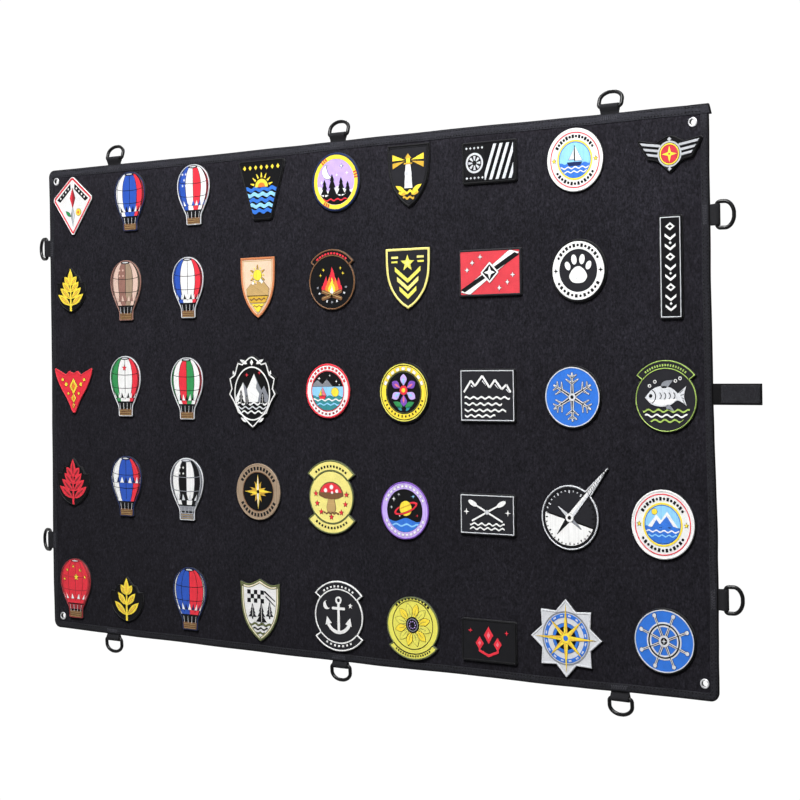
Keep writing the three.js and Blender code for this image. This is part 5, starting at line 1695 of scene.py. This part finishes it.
for u, b, hh, ww in ((-20, -17, 21, 11), (-9, -19, 16, 9), (19, -18, 19, 10)):
    q.inside(pine(u, b, hh, ww), "black", 0.66, 90, oval)
    q.inside(bar((u, b + 2), (u, b + hh * 0.8), 0.8), "white", 0.76, 0, oval)
for u, v in ((-9, 24), (14, 27)):
    q.fill(star(4, 3.4, 1.1, u, v), "red", 0.6, 0)
for sg in (1, -1):
    q.fill(petal(sg * 8, 39.5, 15, 5, 90 - sg * 66), "white", 0.5, 90 - sg * 66)
    q.fill(petal(sg * 31.5, 22, 9, 4, 90 - sg * 20), "white", 0.5, 90)
    q.fill(petal(sg * 10, -42, 13, 4.6, 90 - sg * 62), "white", 0.5, 90)
q.fill(rhomb(0, 41.5, 6, 9), "white", 0.5, 0)
q.done()

q = Patch("patch_r3c5", -12.8, 12.9, "disc", 75, 74, "red", "white", bw=2.6)
q.ring(circle(34.6), circle(28.2), "white", 0.3, 0)
q.dashes(31.4, 2.6, 3.2, "red", 20, 160, 12, 0.5)
q.dashes(31.4, 2.6, 3.2, "dred", 200, 340, 12, 0.5)
q.ring(circle(28.2), circle(26.8), "red", 0.45, 0)
view = circle(26.6)
q.fill(view, "lblue", 0.32, 0)
q.inside([(-30, 30), (-30, 6), (30, 6), (30, 30)], "black", 0.4, 0, view)
for u, v, r in ((-14, 17, 2.4), (4, 21, 1.9), (15, 13, 2.2), (-4, 12, 1.7), (20, 8.4, 1.4)):
    q.fill(star(4, r, r * 0.36, u, v), "white", 0.5, 0)
q.inside([(-30, 6), (-17, 15), (-9, 9), (-1, 16), (9, 6)], "grey", 0.5, 60, view)
q.fill(circle(6.2, 12.5, -1.5, 30), "yellow", 0.56, 0)
q.inside(sea(-30, 30, -7.4, 1.1, 14, -30), "teal", 0.62, 0, view)
q.inside(wave(-30, 30, -12, 1.2, 12, 2.2, 0.7), "white", 0.7, 0, view)
q.inside(wave(-30, 30, -18, 1.2, 12, 2.0, 2.0), "lblue", 0.7, 0, view)
q.fill([(-15, -7), (-3, -7), (-5, -11), (-13, -11)], "red", 0.8, 0)
q.fill([(-9, -6.2), (-9, 6), (-2.4, -6.2)], "pink", 0.8, 90)
q.fill([(-10.2, -6.2), (-10.2, 3), (-15, -6.2)], "yellow", 0.8, 90)
q.done()

q = Patch("patch_r3c6", 112.9, 11.1, "disc", 80, 80, "black", "black", bw=2.0)
q.ring(circle(38.0), circle(36.6), "lemon", 0.4, 0)
q.ring(circle(35.4), circle(28.6), "yellow", 0.34, 0)
q.dashes(31.4, 4.2, 5.4, "white", 15, 165, 9, 0.5)
q.dashes(31.4, 3.2, 2.2, "black", 195, 345, 14, 0.5)
q.ring(circle(27.6), circle(26.9), "olive", 0.4, 0)
for i in range(6):
    a = 60 * i + 30
    q.fill(petal(5 * math.cos(math.radians(a)), 3 + 5 * math.sin(math.radians(a)), 16.5, 10.5, a, peak=0.6), "lilac" if i % 2 else "purple", 0.5, a)
    q.fill(petal(6 * math.cos(math.radians(a)), 3 + 6 * math.sin(math.radians(a)), 11, 3.0, a, peak=0.6), "lblue" if i % 2 else "pink", 0.62, a)
q.fill(circle(6.2, 0, 3, 30), "red", 0.66, 0)
q.fill(circle(3.0, 0, 3, 24), "yellow", 0.78, 0)
for sg in (1, -1):
    q.fill(petal(sg * 2, -19, 16, 7.4, 90 - sg * 66), "green", 0.48, 90 - sg * 66)
    q.fill(petal(sg * 3, -24, 10, 4.2, 90 - sg * 50), "teal", 0.48, 90 - sg * 50)
q.done()

q = Patch("patch_r3c7", 242.2, 7.6, "rect", 82.4, 67.3, "black", "charcoal", bw=1.3)
q.ring(rounded_rect(79.4, 64.3, 0.8, 3), rounded_rect(77.0, 61.9, 0.6, 3), "silver", 0.45, 0)
ridge = [(-35, 4), (-24, 19), (-18, 12), (-7, 25), (4, 10), (12, 20), (22, 8), (29, 14), (35, 4)]
for a, b in zip(ridge, ridge[1:]):
    q.fill(bar(a, b, 2.8), "white", 0.5, 0)
for a, b in zip(ridge[1:-1:2], ridge[2::2]):
    q.fill(bar((a[0], a[1] - 6), ((a[0] + b[0]) / 2, (a[1] + b[1]) / 2 - 5), 1.6, 0.7), "silver", 0.5, 0)
for k, (v, u1) in enumerate(((-3, 34), (-11, 22), (-19, 28), (-26, 12))):
    q.fill(wave(-34, u1, v, 1.3, 11.5, 2.4, 0.8 * k), "white", 0.5, 0)
q.done()


def star_roundel(name, cx, cz, w, h, figure):
    """Blue roundel with a silver edge and a silver-and-black figure."""
    q = Patch(name, cx, cz, "disc", w, h, "black", "blue", bw=1.5)
    r = w / 2
    q.ring(circle(r - 1.5, ry=h / 2 - 1.5), circle(r - 2.8, ry=h / 2 - 2.8), "silver", 0.5, 0)
    if figure == "flake":
        for i in range(6):
            a = 60 * i + 90
            c, s = math.cos(math.radians(a)), math.sin(math.radians(a))
            q.fill(ray(0, 0, 0.5, r * 0.76, a, 5.4, 2.0), "silver", 0.5, a + 90)
            q.fill(ray(0, 0, 0.6, r * 0.68, a, 2.4, 0.8), "black", 0.62, a + 90)
            for f, l in ((0.42, 10.5), (0.6, 7.4)):
                for t in (58, -58):
                    q.fill(ray(c * r * f, s * r * f, 0, l, a + t, 3.2, 1.2), "silver", 0.46, a + t + 90)
                    q.fill(ray(c * r * f, s * r * f, 0.6, l * 0.8, a + t, 1.2, 0.5), "black", 0.6, a + t + 90)
        q.fill(circle(5.4, n=6), "silver", 0.7, 0)
        q.fill(circle(2.6, n=6), "black", 0.8, 0)
    else:
        q.ring(circle(r * 0.56), circle(r * 0.42), "silver", 0.5, 0)
        q.ring(circle(r * 0.515), circle(r * 0.465), "black", 0.62, 0)
        for i in range(8):
            a = 45 * i + 22.5
            q.fill(ray(0, 0, 3, r * 0.8, a, 3.4, 2.6), "silver", 0.56, a + 90)
            q.fill(ray(0, 0, 4, r * 0.74, a, 1.3, 0.9), "black", 0.66, a + 90)
            q.fill(circle(2.5, r * 0.8 * math.cos(math.radians(a)), r * 0.8 * math.sin(math.radians(a)), 20), "silver", 0.66, 0)
        q.fill(circle(7.0), "silver", 0.7, 0)
        q.fill(circle(4.4), "black", 0.8, 0)
        q.fill(star(4, 3.6, 1.2), "silver", 0.88, 0)
    q.done()


star_roundel("patch_r3c8", 365.5, 6.1, 79, 77, "flake")

q = Patch("patch_r3c9", 492.0, 7.8, "rockert", 80, 85.4, "lime", "charcoal", bw=1.4)
q.sash("lime", True, 1.2)
q.band("lime", True, 17, 2.8, 1.9, out=0.3)
pool = [(33.5 * math.cos(TAU * i / 48), -4.4 + 32.6 * math.sin(TAU * i / 48)) for i in range(48)]
fish = soften([(-27, -2), (-18, 7.6), (-5, 12), (8, 9.4), (16, 3), (27, 12), (24, 0), (27.4, -11.6), (16, -5.2), (6, -10.8), (-7, -12.6), (-19, -9.6)], 4, 60)
q.inside(fish, "silver", 0.5, 20, pool)
q.inside(soften([(-25, -4), (-16.4, -8.4), (-6, -11), (6, -9.2), (15, -3.6), (6, -3.4), (-7, -4.8)], 4, 60), "white", 0.62, 0, pool)
q.fill(petal(-6, 10.6, 18, 8.4, 28, peak=0.35), "grey", 0.5, 28)
q.fill(petal(0, -11.4, 13, 6, -30, peak=0.35), "grey", 0.5, -30)
q.fill(circle(2.3, -19.6, 0.2, 20), "black", 0.74, 0)
q.fill(arc_band(8.4, 9.6, -62, 62, 10, -22, -0.6), "black", 0.72, 0)
for u in (-9, -3, 3, 9):
    q.fill(arc_band(3.8, 4.9, -60, 60, 8, u - 1, 0.4), "charcoal", 0.72, 0)
for k in range(4):
    q.fill(bar((18.2 + 1.4 * k, 3.6 - 2.6 * k), (23.4 + 0.4 * k, 7.6 - 5.6 * k), 0.8), "charcoal", 0.66, 0)
for k, v in enumerate((-17.5, -23.5, -29.5)):
    q.inside(wave(-34, 34, v, 1.5, 13, 2.2, 1.1 * k), "lime" if k != 1 else "white", 0.5, 0, pool)
for u, v in ((-14, 17), (-21, 12), (13, 18), (19, 21)):
    q.ring(circle(2.2, u, v, 20), circle(1.2, u, v, 20), "white", 0.5, 0)
q.done()

# --------------------------------------------------------------------------
# patches: row 4
# --------------------------------------------------------------------------
sprig("patch_r4c1", -503.5, -125.9, 66.5, 71.7, "red", "dred", deg=34, pairs=4)
balloon("patch_r4c2", -392.3, -129.1, 62, 89, "navy", ["white", "white", "cobalt", "cobalt", "red", "red"], band=(0.42, 0.56, ["white", "navy"]))
balloon("patch_r4c3", -272.0, -129.4, 64, 90, "silver", ["black", "white", "black", "white", "black", "white"], band=(0.1, 0.24, ["silver", "black"]), basket="grey", seam="grey",
        spots=[(-20 + 7 * (i % 3), 31 - 8.6 * (i // 3), 2.3, "white") for i in range(6)])

q = Patch("patch_r4c4", -138.0, -128.2, "disc", 79, 79, "dun", "black", bw=2.2)
q.ring(circle(37.4), circle(28.0), "dun", 0.34, 0)
q.dashes(32.6, 5.0, 3.6, "black", 25, 155, 13, 0.5)
q.dashes(32.6, 5.0, 3.6, "black", 205, 335, 13, 0.5)
q.ring(circle(28.0), circle(27.0), "brown", 0.45, 0)
q.fill(star(8, 15.5, 6.5, rot=67.5), "gold", 0.46, 0)
q.fill(star(4, 24.5, 5.2), "yellow", 0.56, 45)
for i in range(4):
    a = math.radians(90 * i + 90)
    b = a - math.pi / 4
    q.fill(ccw([(0, 0), (5.2 * math.cos(b), 5.2 * math.sin(b)), (23.6 * math.cos(a), 23.6 * math.sin(a))]), "gold", 0.68, 30)
q.fill([(0, 21), (1.7, 0), (0, -21), (-1.7, 0)], "white", 0.78, 90)
q.fill(circle(2.6, n=20), "black", 0.86, 0)
q.done()

q = Patch("patch_r4c5", -9.6, -131.0, "rockertb", 80.2, 100.6, "olive", "straw", bw=2.0)
for top in (True, False):
    q.sash("olive", top, 1.6)
    q.band("black", top, 11, 3.2, 2.8, out=0.35)
q.fill(soften([(-6, -20), (6, -20), (7.6, -14), (5.4, -4), (5.6, 4), (-5.6, 4), (-5.4, -4), (-7.6, -14)], 4, 60), "tan", 0.5, 90)
cap = [(21 * math.cos(math.radians(a)), 2 + 19 * math.sin(math.radians(a))) for a in range(0, 181, 12)] + [(-12, -1.6), (0, -3), (12, -1.6)]
q.fill(cap, "brown", 0.56, 0)
q.fill([(18.5 * math.cos(math.radians(a)), 3.4 + 16 * math.sin(math.radians(a))) for a in range(10, 171, 10)], "red", 0.64, 0)
for u, v, r in ((-9, 9, 2.9), (1, 13.6, 3.2), (10, 8.4, 2.6), (2, 6.4, 2.0)):
    q.fill(circle(r, u, v, 22), "white", 0.76, 0)
for u, v in ((-24, -9), (24, -9), (-17, -20.5), (17, -20.5), (-26, 4), (26, 4), (0, -27)):
    q.fill(star(5, 4.0, 1.7, u, v), "red", 0.5, 0)
q.fill(wave(-13, 13, -21.6, 1.0, 6.5, 2.2), "brown", 0.62, 0)
q.done()

q = Patch("patch_r4c6", 111.7, -144.2, "disc", 76, 76, "purple", "purple", bw=2.0)
q.ring(circle(36.2), circle(28.4), "lilac", 0.34, 0)
q.dashes(32.3, 3.2, 4.0, "white", 20, 160, 12, 0.48)
q.dashes(32.3, 3.2, 4.0, "white", 200, 340, 12, 0.48)
dark = circle(28.2)
q.fill(dark, "black", 0.32, 0)
q.inside(sea(-30, 30, -12, 2.4, 36, -30, 1.2), "blue", 0.46, 0, dark)
q.inside(wave(-30, 30, -19, 1.4, 17, 2.2, 0.4), "lblue", 0.58, 0, dark)
q.fill(moved(circle(19.5, n=44, ry=6.4), 2, 3, 20), "red", 0.5, 110)
q.fill(moved(circle(16.4, n=44, ry=4.4), 2, 3, 20), "black", 0.58, 0)
q.fill(circle(9.8, 2, 3, 36), "yellow", 0.66, 0)
q.fill(moved(rounded_rect(17.6, 2.0, 0.8, 3), 1.6, 5.6, 20), "gold", 0.76, 0)
near_ring = [(19.5 * math.cos(math.radians(a)), 6.4 * math.sin(math.radians(a))) for a in range(190, 351, 10)]
near_ring += [(16.2 * math.cos(math.radians(a)), 4.2 * math.sin(math.radians(a))) for a in range(350, 189, -10)]
q.fill(moved(near_ring, 2, 3, 20), "red", 0.84, 110)
for u, v, r, c in ((-17, 15, 2.6, "white"), (-9, 21, 1.8, "silver"), (14, 19, 2.2, "lblue"), (-21, 4, 1.8, "white"), (20, -6, 1.7, "red"), (-8, -7, 1.5, "white")):
    q.fill(star(4, r * 1.25, r * 0.4, u, v), c, 0.5, 0)
q.done()

q = Patch("patch_r4c7", 239.6, -143.9, "rect", 82.6, 52.3, "black", "charcoal", bw=1.3)
q.ring(rounded_rect(79.6, 49.3, 0.8, 3), rounded_rect(77.2, 46.9, 0.6, 3), "silver", 0.45, 0)
for sg in (1, -1):
    q.fill(moved(rounded_rect(52, 2.4, 1.0, 3), 0, 3, sg * 27), "white", 0.5 + 0.08 * (sg > 0), 0)
    for e in (1, -1):
        u, v = e * 24 * math.cos(math.radians(sg * 27)), 3 + e * 24 * math.sin(math.radians(sg * 27))
        if e * sg > 0:
            q.fill(moved(circle(7.4, n=28, ry=3.2), u, v, sg * 27), "white", 0.56 + 0.08 * (sg > 0), 0)
q.fill(rhomb(0, 3, 7, 7), "silver", 0.74, 0)
for k, v in enumerate((-12.6, -18.0)):
    q.fill(wave(-26, 26, v, 1.3, 11, 2.2, 1.2 * k), "white", 0.5, 0)
for sg in (1, -1):
    q.fill(star(4, 4.4, 1.4, sg * 31, 3), "white", 0.5, 0)
q.done()

q = Patch("patch_r4c8", 359.5, -142.4, "pointed", 80, 80, "silver", "charcoal", bw=1.8)
q.ring(circle(36.6), circle(34.8), "black", 0.4, 0)
q.inside([(-40, -40), (40, -40), (40, -13), (-40, 9)], "white", 0.4, 0, circle(34.6))
q.inside([(-40, 7), (40, -15), (40, -12.4), (-40, 9.6)], "black", 0.5, 0, circle(34.6))
for i in range(36):
    a = 10 * i
    q.fill(ray(0, 0, 30.6 if i % 3 == 0 else 32.0, 34.0, a, 1.5, 1.5), "silver" if 5 <= i <= 17 else "black", 0.6, a)
q.fill(ray(0, 0, 0, 80.5, 49.4, 8.4, 1.2), "white", 0.62, 49.4)
q.fill(ccw([(0, 0), (80 * math.cos(math.radians(49.4)), 80 * math.sin(math.radians(49.4))), (4.2 * math.cos(math.radians(-40.6)), 4.2 * math.sin(math.radians(-40.6)))]), "silver", 0.72, 49.4)
for k in range(11):
    d = 40 + 3.5 * k
    t = 6.0 * (1 - d / 86)
    c, s = math.cos(math.radians(49.4)), math.sin(math.radians(49.4))
    q.fill(ccw(bar((d * c + t / 2 * s, d * s - t / 2 * c), ((d + 2) * c - t / 2 * s, (d + 2) * s + t / 2 * c), 0.9)), "black", 0.82, 49.4)
q.fill(ray(0, 0, 0, 27.5, 229.4, 8.4, 0.8), "black", 0.62, 49.4)
q.fill(ray(0, 0, 0, 21, 139.4, 6.0, 0.8), "silver", 0.56, 139)
q.fill(ray(0, 0, 0, 21, 319.4, 6.0, 0.8), "grey", 0.56, 139)
q.fill(circle(5.4), "white", 0.86, 0)
q.fill(circle(2.6, n=24), "black", 0.94, 0)
q.done()

sail_roundel("patch_r4c9", 485.6, -145.1, 83, 1)

# --------------------------------------------------------------------------
# patches: row 5
# --------------------------------------------------------------------------
balloon("patch_r5c1", -501.9, -288.2, 64, 90, "dred", ["red", "red", "red", "red", "red", "red"], band=(0.1, 0.22, ["white", "red"]), seam="dred",
        spots=[(-17, 27, 2.6, "yellow"), (-4, 33, 2.6, "yellow"), (10, 28, 2.6, "yellow"), (20, 18, 2.6, "yellow"), (-23, 13, 2.6, "yellow"), (2, 17, 5.4, "yellow")])
sprig("patch_r5c2", -395.0, -297.3, 65.6, 65.8, "yellow", "amber", deg=40, pairs=3)
balloon("patch_r5c3", -269.5, -287.5, 64, 90, "navy", ["white", "cobalt", "cobalt", "red", "red", "white"], band=(0.1, 0.24, ["navy", "white"]))

q = Patch("patch_r5c4", -137.6, -294.1, "crown_shield", 71, 87.4, "olive", "white", bw=2.6)
q.ring(offset(q.p, 3.0), offset(q.p, 4.4), "cream", 0.36, 0)
q.ring(offset(q.p, 4.4), offset(q.p, 5.4), "olive", 0.4, 0)
for i in range(5):
    for j in range(3):
        if (i + j) % 2 == 0:
            u, v = -23 + 6.0 * i, 22 - 6.0 * j
            q.fill([(u, v), (u + 6, v), (u + 6, v + 6), (u, v + 6)], "black", 0.5, 0)
q.fill(bar((8, 27), (27, 14), 2.4, 1.2), "black", 0.5, 60)
q.fill(bar((10, 20), (27, 7), 2.0, 1.0), "charcoal", 0.5, 60)
for u, b, hh, ww, c in ((-14, -13, 22, 15, "charcoal"), (2, -21, 33, 19, "black"), (17, -11, 24, 14, "charcoal")):
    q.fill(pine(u, b, hh, ww, 4), c, 0.56, 90)
    q.fill(bar((u + 0.8, b + 4), (u + 0.4, b + hh * 0.85), 0.9, 0.5), "white", 0.7, 0)
q.fill(wave(-19, 19, -20, 1.3, 13, 2.2), "olive", 0.62, 0)
q.fill(wave(-13, 13, -26, 1.2, 11, 2.2, 1.2), "black", 0.55, 0)
q.fill(wave(-7, 7, -32, 1.0, 9, 2.0, 2.0), "olive", 0.55, 0)
q.done()

q = Patch("patch_r5c5", 0.1, -291.8, "rockertb", 81.7, 95.4, "white", "charcoal", bw=2.2)
for top in (True, False):
    q.sash("white", top, 1.9)
    q.band("white", top, 9 if top else 7, 2.8, 3.0, out=0.25, half=38 if top else 32)
q.fill(bar((0, -21), (0, 17), 4.2), "white", 0.5, 0)
q.ring(circle(5.2, 0, 21.5, 32), circle(2.6, 0, 21.5, 32), "white", 0.55, 0)
q.fill(moved(rounded_rect(22, 3.8, 1.4, 4), 0, 10.5), "white", 0.6, 90)
q.fill(arc_band(17.4, 22.2, 205, 335, 30, 0, -2), "white", 0.56, 0)
for sg in (1, -1):
    u, v = sg * 19.8 * math.cos(math.radians(25)), -2 - 19.8 * math.sin(math.radians(25))
    q.fill(ccw([(u - sg * 6.6, v + 0.4), (u + sg * 4.4, v - 2.6), (u + sg * 1.6, v + 9.4)]), "white", 0.64, 45)
q.fill(crescent(-20, 14, 6.0, 30), "white", 0.5, 30)
q.fill(star(5, 4.0, 1.7, 20, 15), "white", 0.5, 0)
q.done()

q = Patch("patch_r5c6", 121.6, -298.4, "rockerb", 83, 83, "olive", "lemon", bw=2.0)
q.sash("black", False, 1.3)
q.band("black", False, 15, 2.6, 2.0, out=0.25)
q.ring(circle(32.4, 0, 4.6), circle(31.4, 0, 4.6), "black", 0.45, 0)
for i in range(11):
    a = 40 + 100 * (i + 0.5) / 11
    q.fill(arc_band(33.4, 36.4, a - 2.6, a + 2.6, 4, 0, 4.6), "black", 0.45, a)
for i in range(12):
    a = 30 * i + 15
    q.fill(petal(9 * math.cos(math.radians(a)), 4.6 + 9 * math.sin(math.radians(a)), 19.5, 9.4, a, peak=0.55), "lemon" if i % 2 else "yellow", 0.46 if i % 2 else 0.54, a)
    q.fill(ray(0, 4.6, 13, 22, a, 1.0, 0.5), "olive", 0.6 if i % 2 else 0.66, a)
q.fill(circle(10.6, 0, 4.6, 40), "black", 0.7, 0)
q.ring(circle(8.6, 0, 4.6, 40), circle(7.4, 0, 4.6, 40), "grey", 0.8, 0)
for i in range(9):
    a = 40 * i
    q.fill(circle(0.9, 4.6 * math.cos(math.radians(a)), 4.6 + 4.6 * math.sin(math.radians(a)), 10), "lilac", 0.82, 0)
q.done()

q = Patch("patch_r5c7", 239.1, -305.0, "rect", 81.3, 53.9, "black", "soot", bw=2.6)
q.fill(rhomb(0, 7.4, 14, 22), "red", 0.5, 45)
for sg in (1, -1):
    q.fill(rhomb(sg * 13.4, -3.4, 12.4, 17.6), "red", 0.5, 45)
    q.fill(rhomb(sg * 13.4, -3.4, 4.6, 7), "pink", 0.62, 45)
    q.fill(star(4, 3.4, 1.1, sg * 27, 12), "red", 0.5, 0)
q.fill(rhomb(0, 7.4, 5.2, 9), "pink", 0.62, 45)
q.fill(chevron(0, -20.5, 30, 6.4, 3.6), "red", 0.5, 45)
q.done()

q = Patch("patch_r5c8", 351.7, -291.6, "star", 100, 97, "silver", "silver", bw=2.6)
q.ring(circle(33.5), circle(31.6), "grey", 0.4, 0)
q.ring(circle(30.6), circle(25.6), "blue", 0.42, 0)
q.dashes(28.1, 2.0, 4.0, "silver", 0, 360, 16, 0.54)
q.fill(circle(18.6), "blue", 0.42, 0)
q.fill(circle(14.6), "black", 0.5, 0)
for i in range(8):
    a = 45 * i + 90
    long = 42 if i % 2 == 0 else 33
    q.fill(ccw([(3.6 * math.cos(math.radians(a + 90)), 3.6 * math.sin(math.radians(a + 90))), (long * math.cos(math.radians(a)), long * math.sin(math.radians(a))), (3.6 * math.cos(math.radians(a - 90)), 3.6 * math.sin(math.radians(a - 90)))]), "yellow", 0.6 + 0.02 * i, a)
    q.fill(ccw([(0, 0), (long * 0.96 * math.cos(math.radians(a)), long * 0.96 * math.sin(math.radians(a))), (3.2 * math.cos(math.radians(a - 90)), 3.2 * math.sin(math.radians(a - 90)))]), "amber", 0.78, a)
q.fill(circle(6.2, n=32), "yellow", 0.86, 0)
q.fill(circle(3.4, n=24), "blue", 0.94, 0)
q.done()

star_roundel("patch_r5c9", 485.4, -283.8, 81, 78, "wheel")

# --------------------------------------------------------------------------
# stage and light
# --------------------------------------------------------------------------
def plain_white(name):
    """An evenly lit white studio surface."""
    m = Nodes(name)
    shade = m.ramp(m.noise(m.coords(), 3.0), [(0.3, (0.99, 0.99, 0.99, 1)), (0.7, (1.0, 1.0, 1.0, 1))])
    m.set(color=(0.0, 0.0, 0.0, 1), rough=0.9, spec=0.0)
    m.put(m.bsdf.inputs["Emission Color"], shade)
    m.bsdf.inputs["Emission Strength"].default_value = 1.03
    return m.mat


def studio(name, verts, faces):
    """One surface of the studio. The light of the scene comes from the world and the lamps alone."""
    me = bpy.data.meshes.new(name)
    me.from_pydata(verts, [], faces)
    me.materials.append(plain_white(name))
    ob = bpy.data.objects.new(name, me)
    ob.visible_diffuse = ob.visible_glossy = ob.visible_transmission = ob.visible_shadow = False
    bpy.context.scene.collection.objects.link(ob)


studio("studio_floor", [(-14, -14, -0.9), (14, -14, -0.9), (14, 14, -0.9), (-14, 14, -0.9)], [(0, 1, 2, 3)])
wall = [(13.5 * math.cos(math.radians(7.5 * i)), 13.5 * math.sin(math.radians(7.5 * i))) for i in range(48)]
studio(
    "studio_wall",
    [(x, y, z) for z in (-0.95, 12.0) for x, y in wall],
    [((i + 1) % 48, i, 48 + i, 48 + (i + 1) % 48) for i in range(48)] + [tuple(range(95, 47, -1))],
)

world = bpy.data.worlds.new("studio")
bpy.context.scene.world = world
world.use_nodes = True
wt = world.node_tree
way = wt.nodes.new("ShaderNodeTexCoord").outputs["Generated"]
split = wt.nodes.new("ShaderNodeSeparateXYZ")
wt.links.new(way, split.inputs[0])
fade = wt.nodes.new("ShaderNodeMapRange")
wt.links.new(split.outputs[1], fade.inputs[0])
for k, v in enumerate((-0.45, 0.05, 0.36, 1.04)):
    fade.inputs[k + 1].default_value = v
wt.nodes["Background"].inputs[0].default_value = (1.0, 1.0, 1.0, 1.0)
flank = wt.nodes.new("ShaderNodeMapRange")
wt.links.new(split.outputs[0], flank.inputs[0])
for k, v in enumerate((-0.15, 0.45, 1.0, 0.4)):
    flank.inputs[k + 1].default_value = v
both = wt.nodes.new("ShaderNodeMath")
both.operation = "MULTIPLY"
wt.links.new(fade.outputs[0], both.inputs[0])
wt.links.new(flank.outputs[0], both.inputs[1])
wt.links.new(both.outputs[0], wt.nodes["Background"].inputs[1])


def area_light(name, at, target, size, power):
    d = bpy.data.lights.new(name, "AREA")
    d.shape, d.size, d.energy = "DISK", size, power
    ob = bpy.data.objects.new(name, d)
    bpy.context.scene.collection.objects.link(ob)
    ob.location = at
    ob.rotation_euler = (Vector(target) - Vector(at)).to_track_quat("-Z", "Y").to_euler()


area_light("key", (0.5, -1.7, 1.8), (0.05, 0.0, 0.04), 1.05, 120.0)
area_light("back", (-0.9, 1.7, 1.7), (0.0, 0.0, 0.0), 1.0, 36.0)
area_light("top", (0.1, -0.5, 2.0), (0.05, -0.1, 0.1), 1.2, 12.0)
bpy.context.scene.view_settings.view_transform = "Standard"
